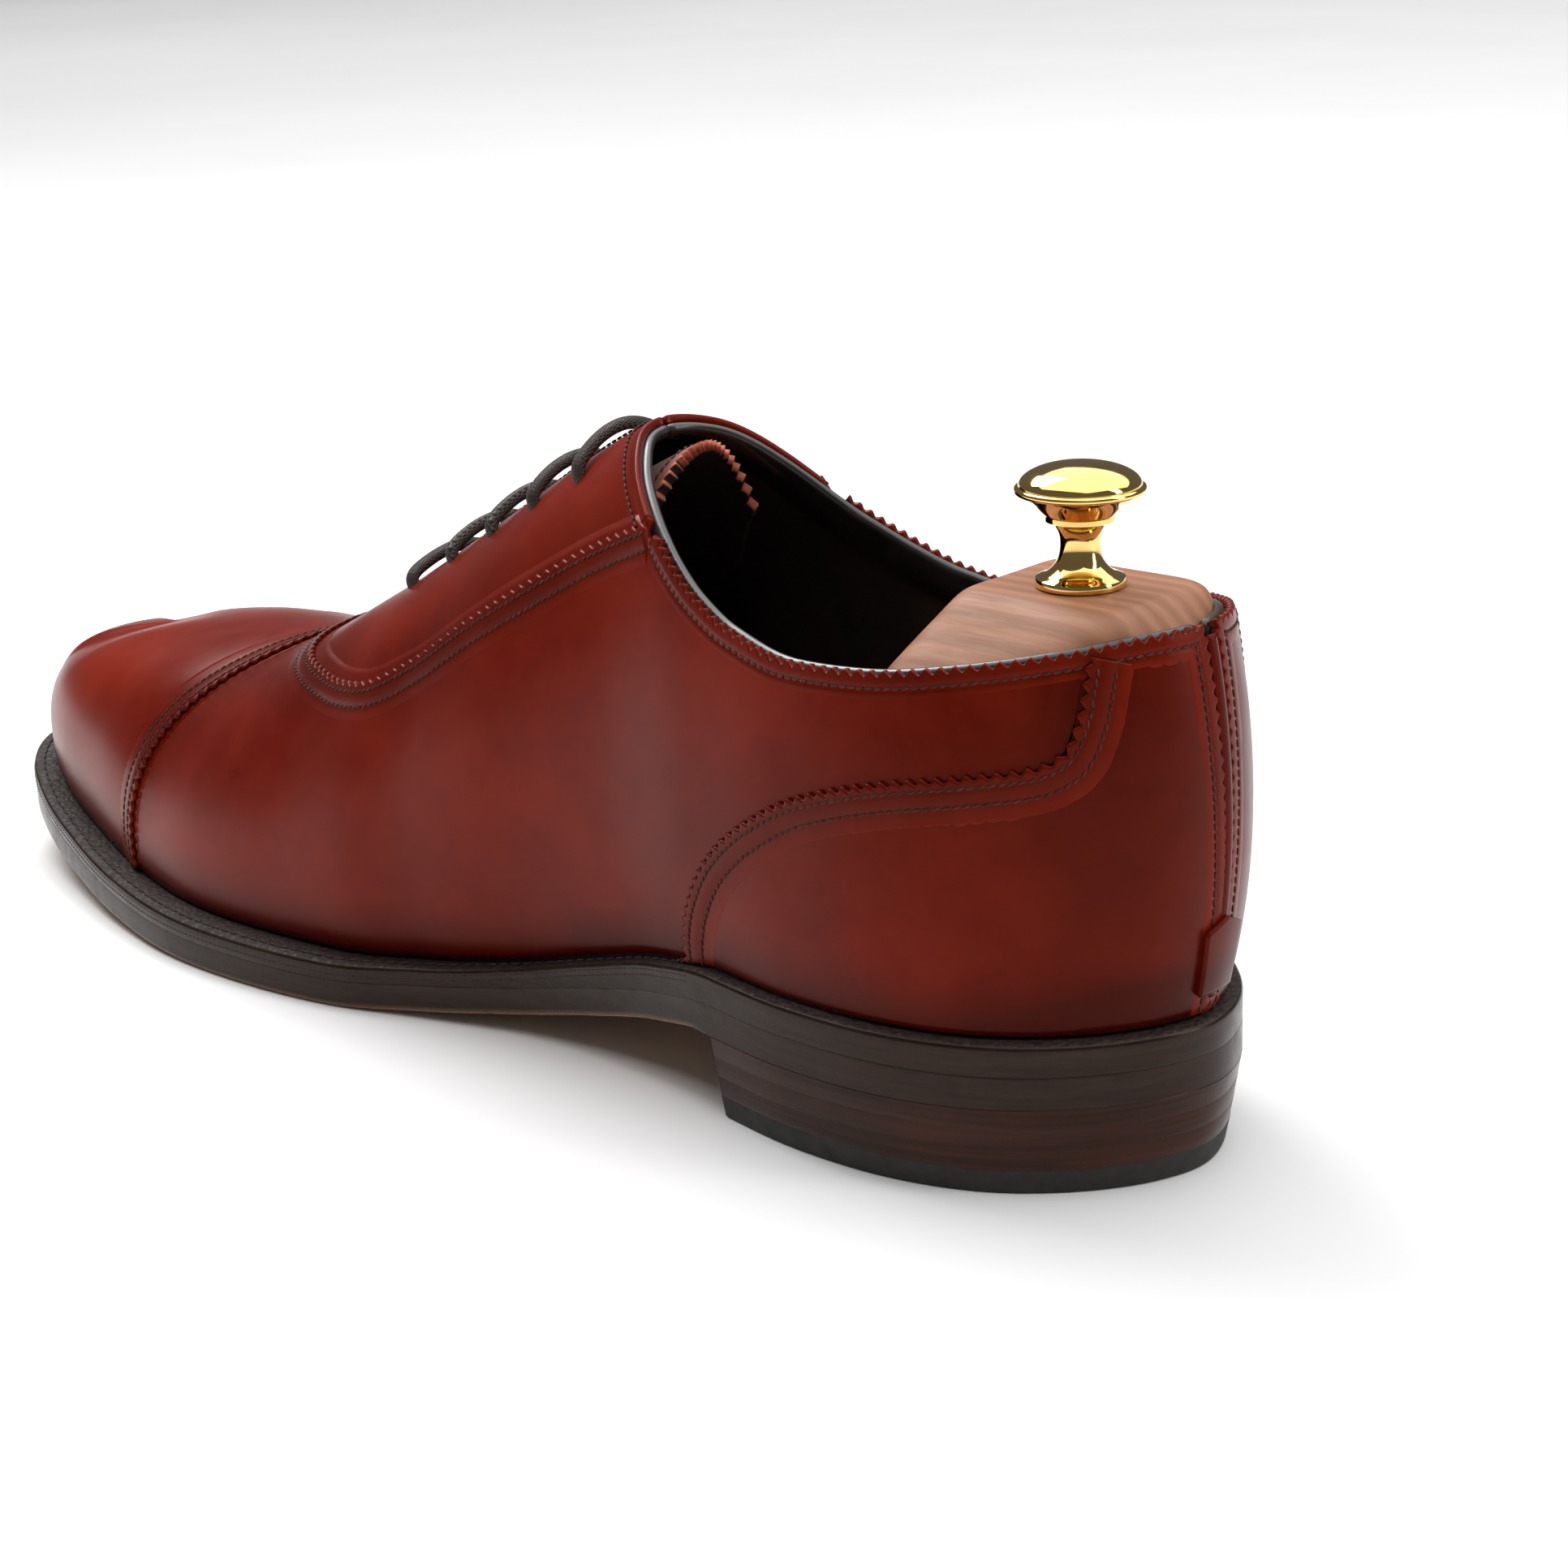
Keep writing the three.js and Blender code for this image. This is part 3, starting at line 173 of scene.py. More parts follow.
# ---- The sole's outline and levels ----
# s runs round the outline: 0 at the toe tip, 0.5 at the heel back, back to 1 at the toe tip.
OUTER_EDGE = [(-264, TOE_Y), (-261, -4), (-252.5, -14), (-238, -22.5), (-220, -29.5), (-198, -36.5),
              (-174, -41.5), (-150, -42), (-130, -39.5), (-110, -33.5), (-88, -28.5), (-64, -29),
              (-40, -34), (-20, -37), (0, -36), (16, -30.5), (28, -21), (35.5, -10)]
INNER_EDGE = [(38, 0), (35.5, 10), (28, 20.5), (16, 29.5), (0, 34), (-20, 34.5), (-40, 31.5),
              (-62, 28.5), (-84, 30), (-106, 36.5), (-128, 45.5), (-150, 53), (-174, 55),
              (-198, 51.5), (-220, 45.5), (-238, 38), (-252, 29.5), (-261, 19)]
OUTLINE = np.array([(stretch(x), widen(y)) for x, y in OUTER_EDGE + INNER_EDGE])


def outline(s):
    """Points and unit tangents of the outline, a closed centripetal Catmull-Rom curve."""
    s = np.asarray(s, float) % 1.0
    count = len(OUTLINE)
    i = np.floor(s * count).astype(int) % count
    w = (s * count - np.floor(s * count))[..., None]
    p0, p1, p2, p3 = (OUTLINE[(i + k) % count] for k in (-1, 0, 1, 2))
    start, square, cube = catmull_rom(p0, p1, p2, p3)
    point = p1 + w * (start + w * (square + w * cube))
    tangent = start + w * (2 * square + 3 * w * cube)
    return point, tangent / np.linalg.norm(tangent, axis=-1, keepdims=True)


def edge(s, inset=0.0):
    """The outline moved inwards."""
    point, tangent = outline(s)
    normal = np.stack([-tangent[..., 1], tangent[..., 0]], -1)
    return point + normal * np.asarray(inset, float)[..., None]


FINE = 20001
OUTER_S = np.linspace(0, 0.5, FINE)
INNER_S = np.linspace(1, 0.5, FINE)
OUTER_X = np.maximum.accumulate(outline(OUTER_S)[0][:, 0])
INNER_X = np.maximum.accumulate(outline(INNER_S - 1e-12)[0][:, 0])


def s_at(x, side):
    """Where the outline passes x on one side, -1 outer or 1 inner."""
    return np.interp(x, OUTER_X, OUTER_S) if side < 0 else np.interp(x, INNER_X, INNER_S)


def station(s):
    return outline(s)[0][..., 0]


def is_inner(s):
    return np.asarray(s, float) % 1.0 >= 0.5


def other_side(s):
    x = station(s)
    return np.where(is_inner(s), s_at(x, -1), s_at(x, 1))


sole_z = table((-264, TOE_SPRING), (-245, TOE_SPRING * 0.7), (-222, TOE_SPRING * 0.36),
               (-200, TOE_SPRING * 0.14), (-178, TOE_SPRING * 0.03), (-160, 0), (-130, 0),
               (-112, 1.2), (-92, 3.8), (-72, 8.2), (-54, 12.6), (-38, HEEL_HEIGHT), (38, HEEL_HEIGHT))
welt_height = table((-264, WELT), (-110, WELT), (-50, RAND), (38, RAND))


def outsole_top(x):
    return sole_z(x) + OUTSOLE


def welt_top(x):
    return outsole_top(x) + GAP + welt_height(x)


# ---- The last: the surface that the upper is pulled over ----
# (s, t): s round the feather line, t from 0 at the welt to 1 on the crown line, and on to 2 at the
# welt of the other side.
feather_inset = table((-264, 4.8), (-200, 6), (-150, 6), (-95, 3.6), (-45, 2.4), (38, 2.2))
crown_x = table((-260, -229), (-248, -218), (-230, -199), (-212, -180), (-196, -165), (-180, -154),
                (-160, -142), (-130, -124), (-95, -92), (-60, -62), (-20, -28), (10, -8), (36, 4))
crown_y = table((-226, 9), (-190, 8), (-160, 6), (-120, 3), (-80, 0), (-40, 0), (10, 0))
crown_z = table((-229, 47.4), (-214, 51), (-200, 52.9), (-185, 54.3), (-171, 56), (-160, 60.3),
                (-140, 71), (-110, 88.5), (-78, 107), (-50, 119), (-20, 127), (4, 129))
rise = table((-260, 0.8), (-215, 0.7), (-186, 0.55), (-150, 0.5), (-110, 0.46), (-60, 0.4), (36, 0.42))
lean_outer = table((-260, 0.16), (-215, 0.14), (-186, 0.1), (-150, 0.14), (-120, 0.3), (-90, 0.48),
                   (-50, 0.3), (-15, 0.17), (15, 0.17), (36, 0.26))
lean_inner = table((-260, 0.16), (-215, 0.14), (-186, 0.08), (-150, 0.08), (-120, 0.18), (-90, 0.34),
                   (-50, 0.25), (-15, 0.14), (15, 0.16), (36, 0.26))
reach = table((-260, 0.72), (-215, 0.68), (-186, 0.6), (-150, 0.6), (-120, 0.72), (-90, 0.9),
              (-50, 0.9), (36, 0.85))


def last(s, t):
    """Points of the last's surface."""
    s, t = np.broadcast_arrays(np.asarray(s, float), np.asarray(t, float))
    over = t > 1
    if over.any():
        s = np.where(over, other_side(s), s)
        t = np.where(over, 2 - t, t)
    px = station(s)
    inset = feather_inset(px)
    f = edge(s, inset)
    foot = np.stack([f[..., 0], f[..., 1], welt_top(f[..., 0]) + 2 * GAP], -1)
    x = crown_x(px)
    crown = np.stack([x, widen(crown_y(x)), crown_z(x)], -1)
    out = f - edge(s, inset + 1)
    lift = (crown[..., 2] - foot[..., 2]) * rise(px)
    lean = lift * np.where(is_inner(s), lean_inner(px), lean_outer(px))
    run = foot[..., :2] - crown[..., :2]
    grade = (crown_z(x + 2) - crown_z(x - 2)) / 4
    far = reach(px)
    first = foot + np.stack([out[..., 0] * lean, out[..., 1] * lean, lift], -1)
    second = crown + np.stack([run[..., 0], run[..., 1], run[..., 0] * grade], -1) * far[..., None]
    t = t[..., None]
    k = 1 - t
    return k**3 * foot + 3 * k * k * t * first + 3 * k * t * t * second + t**3 * crown


def slopes(s, t, ds=0.0008, dt=0.004):
    """Derivatives of the surface along s and t."""
    low, high = np.maximum(t - dt, 0), t + dt
    along = (last(s + ds, t) - last(s - ds, t)) / (2 * ds)
    up = (last(s, high) - last(s, low)) / (high - low)[..., None]
    return along, up


def unit(v):
    return v / np.maximum(np.linalg.norm(v, axis=-1, keepdims=True), 1e-9)


def normal(s, t):
    """Unit normals of the last, pointing out."""
    s, t = np.broadcast_arrays(np.asarray(s, float), np.asarray(t, float))
    d = 0.002
    edge_t = np.clip(t, 0.004, 1.996)
    along = last(s + d, edge_t) - last(s - d, edge_t)
    up = last(s, edge_t + 0.012) - last(s, edge_t - 0.004)
    return unit(np.cross(along, up))


def skin(s, t, depth=0.0):
    """Points below (depth > 0) or above the last's surface."""
    s, t = np.broadcast_arrays(np.asarray(s, float), np.asarray(t, float))
    return last(s, t) - normal(s, t) * np.asarray(depth, float)[..., None]


def solve_t(s, is_low, steps=26):
    """The t at which is_low(points) stops being true, going up from the welt."""
    s = np.asarray(s, float)
    low, high = np.zeros_like(s), np.ones_like(s)
    for _ in range(steps):
        mid = (low + high) / 2
        below = is_low(last(s, mid))
        low, high = np.where(below, mid, low), np.where(below, high, mid)
    return (low + high) / 2


def t_at(s, z):
    return solve_t(s, lambda p: p[..., 2] < z)


def t_on(s, seam, lift=0.0):
    """The t at which the surface meets a seam, raised by lift."""
    return solve_t(s, lambda p: p[..., 2] < seam(p[..., 0]) + lift)


def t_across(s, distance):
    """The t at a distance across from the crown line."""
    crown = last(s, np.ones_like(s))[..., 1]
    return solve_t(s, lambda p: np.abs(p[..., 1] - crown) > distance)


# ---- Seams, as heights along the shoe ----
outer_topline = table((-95, 118), (-78, 109.5), (-71, 106.5), (-64, 101.5), (-57, 96.5), (-50, 92),
                      (-42, 87.7), (-33, 84.2), (-18, 81.5), (-5, 82), (12, 84.2), (24, 86.3),
                      (33, 88), (46, 88.8))
facing_seam = table((-175, 66), (-166, 61.5), (-158, 59.2), (-148, 58.2), (-138, 57.8), (-129, 58.8),
                    (-115, 65), (-101, 74), (-85, 83.5), (-70, 91.5), (-57, 97), (-48, 101))
rear_seam = table((-50, 15), (-47.5, 22), (-45.5, 31), (-42, 39), (-36.5, 47), (-28, 54.5),
                  (-16, 61.5), (0, 66.5), (14, 69), (22, 70.5), (25, 72.5), (26.4, 78), (27, 96),
                  (46, 110))
CAP_SEAM = -196


def inner_topline(x):
    """The inner side sits a little lower under the ankle."""
    under_ankle = smooth(x, stretch(-72), stretch(-50)) * (1 - smooth(x, stretch(-25), stretch(5)))
    return outer_topline(x) - 3 * under_ankle


def topline_t(s, drop=0.0):
    return np.where(is_inner(s), t_on(s, inner_topline, -drop), t_on(s, outer_topline, -drop))


def slit_t(s, half=SLIT / 2):
    return t_across(s, half)


def lined_depth(s, t):
    """Depth of the lining's outer face, over the puff, the stiffener or neither."""
    p = last(s, t)
    toe = 1 - smooth(station(s), stretch(-203), stretch(-180))
    heel = smooth(p[..., 0], stretch(-50), stretch(-32)) * (1 - smooth(p[..., 2], 65, 77))
    return UPPER + PLY_GAP + (STIFFENER + PLY_GAP) * np.maximum(toe, heel)


# ---- Mesh helpers ----
def make(name, points, faces, material, body="shoe", slot=None, replaces=(), attributes=None, weld=True):
    """A mesh object from points in millimetres that rides on a body."""
    mesh = bpy.data.meshes.new(name)
    mesh.from_pydata((np.asarray(points) * MM).tolist(), [], faces)
    for key, values in (attributes or {}).items():
        mesh.attributes.new(key, "FLOAT", "POINT").data.foreach_set(
            "value", np.asarray(values, np.float32).ravel())
    mesh.materials.append(material)
    obj = bpy.data.objects.new(name, mesh)
    bpy.context.scene.collection.objects.link(obj)
    if weld:
        tidy_mesh(obj)
    mesh.polygons.foreach_set("use_smooth", [True] * len(mesh.polygons))
    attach(obj, body)
    if replaces:
        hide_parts(*replaces)
    return obj


def tidy_mesh(obj):
    """Joins points that lie together, drops faces with no area and turns the faces outwards."""
    distance = 2e-6
    bm = bmesh.new()
    bm.from_mesh(obj.data)
    bmesh.ops.remove_doubles(bm, verts=bm.verts, dist=distance)
    bmesh.ops.dissolve_degenerate(bm, edges=bm.edges, dist=distance / 2)
    bmesh.ops.recalc_face_normals(bm, faces=bm.faces)
    bm.to_mesh(obj.data)
    bm.free()


def soften(obj, angle=35):
    """Smooth shading, with edges sharper than an angle kept."""
    obj.data.polygons.foreach_set("use_smooth", [True] * len(obj.data.polygons))
    obj.data.set_sharp_from_angle(angle=math.radians(angle))


def grid_faces(rows, columns, wrap_columns=False, wrap_rows=False, start=0):
    faces = []
    for i in range(rows if wrap_rows else rows - 1):
        a, b = start + i * columns, start + (i + 1) % rows * columns
        for j in range(columns if wrap_columns else columns - 1):
            k = (j + 1) % columns
            faces.append((a + j, b + j, b + k, a + k))
    return faces


def loft(name, rings, material, closed=False, **options):
    """A closed body from rings of points (rings x points x 3), capped at both ends unless closed."""
    rings = np.asarray(rings)
    count, size = rings.shape[:2]
    faces = grid_faces(count, size, wrap_columns=True, wrap_rows=closed)
    if not closed:
        faces.append(tuple(range(size)))
        faces.append(tuple(range((count - 1) * size, count * size))[::-1])
    return make(name, rings.reshape(-1, 3), faces, material, **options)


def sheet(name, grids, outer, inner, material, tone_and_shade=None, **options):
    """A sheet of leather: grids of (s, t) on the last, between two depths, with closed edges."""
    places, faces, offset = [], [], 0
    for s, t in grids:
        places.append(np.stack([s.ravel(), t.ravel()], 1))
        faces += grid_faces(*s.shape, start=offset)
        offset += s.size
    places = np.concatenate(places)
    points = last(places[:, 0], places[:, 1])
    _, first, ids = np.unique(np.round(points, 3), axis=0, return_index=True, return_inverse=True)
    ids = ids.ravel()
    places = places[first]
    whole = []
    for face in faces:
        ring = [ids[i] for i in face]
        ring = [v for k, v in enumerate(ring) if v != ring[k - 1]]
        if len(ring) > 2:
            whole.append(ring)
    used = set()
    for ring in whole:
        used.update((ring[k - 1], ring[k]) for k in range(len(ring)))
    count = len(places)
    solid = [tuple(r) for r in whole] + [tuple(v + count for v in reversed(r)) for r in whole]
    solid += [(b, a, a + count, b + count) for a, b in used if (b, a) not in used]
    s, t = places.T
    out = skin(s, t, outer(s, t))
    both = np.concatenate([out, skin(s, t, inner(s, t))])
    marks = None
    if tone_and_shade is not None:
        shade = tone_and_shade(out, s, t)
        marks = {"tone_and_shade": np.concatenate([shade, np.zeros_like(shade)])}
    return make(name, both, solid, material, attributes=marks, weld=False, **options)


def rows(side, xs, low, high, cells):
    """Rows of (s, t) on one side of the shoe, from t = low(s) to t = high(s)."""
    s = np.array([{"toe": 0.0 if side < 0 else 1.0, "heel": 0.5}[x] if isinstance(x, str)
                  else s_at(stretch(x), side) for x in xs])
    to = high(s)
    start = np.minimum(low(s), to - 0.002)
    w = np.linspace(0, 1, cells + 1)
    t = start[:, None] + (to - start)[:, None] * w
    s = np.repeat(s[:, None], cells + 1, 1)
    return (s, t) if side < 0 else (s[::-1], t[::-1])


def constant(value):
    return lambda s, *rest: np.full(np.shape(s), float(value))


def spread(a, b, n):
    return list(np.linspace(a, b, n + 1))


SIDES = (-1, 1)
SIDE_NAMES = {-1: "outer", 1: "inner"}
TOE_ROWS = ["toe"] + list(-264 + 64 * np.linspace(0.06, 1, 30) ** 1.7)
HEEL_ROWS = list(38 - 26 * np.linspace(1, 0.08, 16) ** 1.5) + ["heel"]
STEEP_ROWS = list(np.linspace(22, 34.5, 60))  # where the rear seam turns up to the topline


# ---- Seam curves on the last ----
class Seam:
    """A curve on the last with points at even steps, and a frame at each: along it, out and aside."""

    def __init__(self, s, t, step, flip=False):
        points = last(s, t)
        run = run_along(points)
        count = max(4, int(round(run[-1] / step)) + 1)
        at = np.linspace(0, run[-1], count)
        self.run = at
        self.s, self.t = np.interp(at, run, s), np.interp(at, run, t)
        self.points = last(self.s, self.t)
        gap = np.gradient(self.points, axis=0)
        kernel = np.ones(9) / 9
        padded = np.concatenate([np.repeat(gap[:1], 4, 0), gap, np.repeat(gap[-1:], 4, 0)])
        even = np.stack([np.convolve(padded[:, k], kernel, "valid") for k in range(3)], 1)
        out = normal(self.s, self.t)
        along = unit(even)
        self.along = unit(along - out * (along * out).sum(1, keepdims=True))
        self.aside = np.cross(out, self.along) * (-1 if flip else 1)

    def beside(self, distance):
        """(s, t) at a distance to the side of each point, kept on the last."""
        distance = np.broadcast_to(np.asarray(distance, float), self.s.shape)
        goal = self.points + self.aside * distance[:, None]
        s, t = self.s.copy(), self.t.copy()
        for _ in range(4):
            along, up = slopes(s, t)
            miss = goal - last(s, t)
            aa, uu, au = (along**2).sum(1), (up**2).sum(1), (along * up).sum(1)
            ma, mu = (miss * along).sum(1), (miss * up).sum(1)
            span = np.maximum(aa * uu - au * au, 1e-9)
            s = s + (ma * uu - mu * au) / span
            t = np.clip(t + (mu * aa - ma * au) / span, 0, 2)
        return s, t

    def raised(self, distance, height):
        s, t = self.beside(distance)
        return skin(s, t, -np.broadcast_to(np.asarray(height, float), s.shape))

    def part(self, start, end):
        """The piece of the curve between two runs along it."""
        keep = (self.run >= start) & (self.run <= end)
        piece = object.__new__(Seam)
        for key in ("run", "s", "t", "points", "along", "aside"):
            setattr(piece, key, getattr(self, key)[keep])
        return piece


STEP = TOOTH_PITCH / 6  # spacing of a seam's points


def cap_curve():
    t = np.linspace(0, 2, 600)
    return Seam(np.full_like(t, s_at(stretch(CAP_SEAM), -1)), t, STEP)


def facing_curve():
    """Round the facings, from the outer topline across the crown line to the inner topline."""
    crown = np.linspace(stretch(-190), stretch(-120), 2000)
    front = crown[np.argmax(crown_z(crown) > facing_seam(crown))]
    stations = stretch(np.linspace(-210, -150, 600))
    foot = np.interp(front, crown_x(stations), stations)
    xs = foot + (stretch(-50) - foot) * np.linspace(0.00002, 1, 900) ** 1.8
    s = s_at(xs, -1)
    outer_t = t_on(s, facing_seam)
    inner_s = s_at(xs, 1)
    inner_t = t_on(inner_s, facing_seam)
    keep_outer = outer_t < topline_t(s) - 0.002
    keep_inner = inner_t < topline_t(inner_s) - 0.002
    s_line = np.concatenate([s[keep_outer][::-1], s[keep_inner]])
    t_line = np.concatenate([outer_t[keep_outer][::-1], 2 - inner_t[keep_inner]])
    return Seam(s_line, t_line, STEP)


def rear_curve(side):
    u = np.linspace(0, 1, 1600)
    xs = stretch(-49.95 + (34.5 + 49.95) * (0.5 - 0.5 * np.cos(math.pi * u)))
    s = s_at(xs, side)
    t = t_on(s, rear_seam)
    top = topline_t(s)
    end = np.argmax(t > top - 0.002) or len(t)
    return Seam(s[:end], t[:end], STEP, flip=side < 0)


def topline_curve():
    """From the outer facing's top corner round the heel to the inner facing's."""
    outer = s_at(stretch(np.linspace(-79, 37.9, 900)), -1)
    inner = s_at(stretch(np.linspace(37.9, -79, 900)), 1)
    s = np.concatenate([outer, [0.5], inner])
    t = np.minimum(topline_t(s), slit_t(s))
    return Seam(s, t, STEP, flip=True)


# ---- Bands, teeth and stitches ----
def teeth(run):
    """Distance from the teeth's tips to the pinked edge: a zigzag."""
    phase = (run / TOOTH_PITCH) % 1.0
    return TOOTH_DEPTH * np.abs(2 * phase - 1)


def standing_teeth(run):
    """Teeth that stand up past the edge they are cut in."""
    return teeth(run) - LAP


def plain_edge(run):
    return np.zeros_like(run)


def lap_height(d, lift, width):
    """Height of a lapped edge above the leather: it fades out and dips under its stitches."""
    fade = 1 - smooth(d, 0.15 * width, width)
    groove = sum(0.16 * np.exp(-(((d - row) / 0.45) ** 2)) for row in (ROW_NEAR, ROW_FAR))
    return lift * fade - groove - 0.03 * (1 - fade)


def band(name, seam, edge_line=teeth, lift=LAP, width=BAND_WIDTH, under=0.35, dark=0.5):
    """The stitched margin of a piece that laps over its neighbour, with its pinked edge."""
    start = edge_line(seam.run)
    shares = (0.0, 0.035, 0.1, 0.17, 0.24, 0.31, 0.38, 0.46, 0.54, 0.61, 0.68, 0.78, 0.9, 1.0)
    columns, shade = [], []
    for k, share in enumerate(shares):
        d = start + (width - start) * share
        height = lap_height(d, lift, width) - (0.22 if k == 0 else 0)
        columns.append(seam.raised(d, height))
        shade.append(dark * (1 - smooth(d, 0.5 * width, width)))
    columns.append(seam.raised(np.full_like(start, width), -under))
    columns.append(seam.raised(start + 0.05, -under))
    shade += [shade[-1], shade[0]]
    rings = np.stack(columns, 1)
    marks = {"tone_and_shade": np.stack(shade, 1)}
    loft(name, rings, CALF, attributes=marks, slot="upper_leather", weld=False)


def stitches(name, seam, distance, lift=LAP, width=BAND_WIDTH, tilt=14.0, height=None):
    """A row of slanted stitches beside a seam."""
    line = seam.raised(np.full_like(seam.run, distance), 0.0)
    s, t = seam.beside(distance)
    top = lap_height(np.array([distance]), lift, width)[0] if height is None else height
    thread_row(name, line, normal(s, t), seam.along, top, THREAD, tilt=tilt)


def thread_row(name, line, outward, forward, top, material, pitch=STITCH_PITCH, tilt=14.0, size=STITCH,
               body="shoe"):
    """Stitches along a line of points, each a short bulge of thread that dips at both ends."""
    run = run_along(line)
    count = int(run[-1] / pitch)
    at = (np.arange(count) + 0.5) * pitch

    def pick(values):
        return np.stack([np.interp(at, run, values[:, k]) for k in range(3)], 1)

    up = unit(pick(outward))
    along = unit(pick(forward))
    aside = np.cross(up, along)
    centre = pick(line) + up * (top + size * 0.18)
    angle = math.radians(tilt)
    length_way = along * math.cos(angle) + aside * math.sin(angle)
    side_way = np.cross(up, length_way)
    around, steps = 8, 6
    template = []
    for i in range(steps + 1):
        a = math.pi * i / steps
        for j in range(around):
            b = 2 * math.pi * j / around
            template.append((-math.cos(a) * pitch * 0.43, math.sin(a) * math.cos(b) * size / 2,
                             math.sin(a) * math.sin(b) * size / 2))
    template = np.array(template)
    points = (centre[:, None] + template[None, :, :1] * length_way[:, None]
              + template[None, :, 1:2] * side_way[:, None] + template[None, :, 2:] * up[:, None])
    faces = []
    for k in range(count):
        faces += grid_faces(steps + 1, around, wrap_columns=True, start=k * len(template))
    make(name, points.reshape(-1, 3), faces, material, body=body, slot="lace", weld=False)


# ---- Materials ----
class Shader:
    """A node material with short calls for the nodes that these looks use."""

    def __init__(self, name, **sockets):
        self.material = bpy.data.materials.new(name)
        self.material.use_nodes = True
        self.tree = self.material.node_tree
        self.surface = self.tree.nodes["Principled BSDF"]
        for key, value in sockets.items():
            self.surface.inputs[key.replace("_", " ")].default_value = value
        self.place = self.tree.nodes.new("ShaderNodeTexCoord").outputs["Object"]

    def link(self, source, target):
        self.tree.links.new(source, target)

    def node(self, kind, inputs=None, **settings):
        node = self.tree.nodes.new(kind)
        for key, value in settings.items():
            setattr(node, key, value)
        for key, value in (inputs or {}).items():
            if isinstance(value, bpy.types.NodeSocket):
                self.link(value, node.inputs[key])
            else:
                node.inputs[key].default_value = value
        return node

    def stretched(self, scale):
        return self.node("ShaderNodeMapping", {"Vector": self.place, "Scale": scale}).outputs["Vector"]

    def noise(self, scale, detail=3.0, roughness=0.55, distortion=0.0, vector=None):
        node = self.node("ShaderNodeTexNoise", {"Vector": vector or self.place, "Scale": scale,
                                                "Detail": detail, "Roughness": roughness,
                                                "Distortion": distortion})
        return node.outputs["Fac"]

    def cells(self, scale):
        return self.node("ShaderNodeTexVoronoi", {"Vector": self.place, "Scale": scale}).outputs["Distance"]

    def ramp(self, value, *stops):
        """Colours or grey levels at places from 0 to 1."""
        node = self.node("ShaderNodeValToRGB", {"Fac": value})
        points = node.color_ramp.elements
        while len(points) < len(stops):
            points.new(0.5)
        for point, (place, colour) in zip(points, stops):
            point.position = place
            point.color = (*colour, 1) if isinstance(colour, tuple) else (colour, colour, colour, 1)
        return node.outputs["Color"]

    def mix(self, share, a, b, mode="MIX"):
        node = self.node("ShaderNodeMix", data_type="RGBA", blend_type=mode)
        for socket, value in zip((node.inputs[0], node.inputs[6], node.inputs[7]), (share, a, b)):
            if isinstance(value, bpy.types.NodeSocket):
                self.link(value, socket)
            else:
                socket.default_value = (*value, 1) if isinstance(value, tuple) else value
        return node.outputs[2]

    def math(self, operation, a, b=0.0):
        return self.node("ShaderNodeMath", {0: a, 1: b}, operation=operation).outputs[0]

    def attribute(self, name):
        return self.node("ShaderNodeAttribute", attribute_name=name).outputs["Fac"]

    def colour(self, source):
        self.link(source, self.surface.inputs["Base Color"])

    def rough(self, source):
        self.link(source, self.surface.inputs["Roughness"])

    def bump(self, height, strength, distance):
        node = self.node("ShaderNodeBump", {"Height": height, "Strength": strength, "Distance": distance})
        self.link(node.outputs["Normal"], self.surface.inputs["Normal"])


def plain(name, tone, colours, roughness, bump, gloss=None, **surface):
    """Two tones of one colour. tone, gloss and bump begin with a noise's scale and detail."""
    m = Shader(name, **surface)
    tones = m.noise(*tone)
    m.colour(m.ramp(tones, (0.3, colours[0]), (0.7, colours[1])))
    m.rough(m.ramp(m.noise(*gloss) if gloss else tones, (0.3, roughness[0]), (0.7, roughness[1])))
    m.bump(m.noise(*bump[:2]), *bump[2:])
    return m.material


def upper_leather():
    """Red-brown calf, hand finished: cloudy patina, darker where it is burnished by the seams and towards the
    heel, with painted shade low down by the welt, fine pores.
    """
    m = Shader("burnished_calf", Specular_IOR_Level=0.26, Specular_Tint=(1.0, 0.3, 0.22, 1.0))
    clouds = m.noise(24, detail=4, roughness=0.6)
    patina = m.ramp(clouds, (0.3, (0.085, 0.0032, 0.0008)), (0.5, (0.14, 0.0066, 0.0014)),
                    (0.7, (0.205, 0.0125, 0.0026)))
    brushed = m.noise(140, detail=5, roughness=0.7)
    patina = m.mix(m.ramp(brushed, (0.35, 0.0), (0.75, 0.35)), patina, (0.2, 0.015, 0.0034))
    # the mark darkens the calf to near black: rubbed dark by the seams and pinked edges, darker towards the
    # heel, and painted shade low down by the welt
    worn = m.math("MULTIPLY", m.attribute("tone_and_shade"), 0.8)
    m.colour(m.mix(worn, patina, (0.016, 0.0014, 0.0008)))
    m.rough(m.ramp(m.noise(70, detail=3), (0.3, 0.27), (0.7, 0.35)))
    m.bump(m.noise(1300, detail=2, roughness=0.5), 0.05, 0.00008)
    return m.material


def lining_leather():
    m = Shader("lining_leather", Specular_IOR_Level=0.35)
    tone = m.noise(60, detail=4)
    m.colour(m.ramp(tone, (0.3, (0.009, 0.0045, 0.0035)), (0.7, (0.02, 0.0095, 0.007))))
    m.rough(m.ramp(m.noise(200), (0.3, 0.5), (0.7, 0.68)))
    m.bump(m.cells(1500), 0.2, 0.0002)
    return m.material


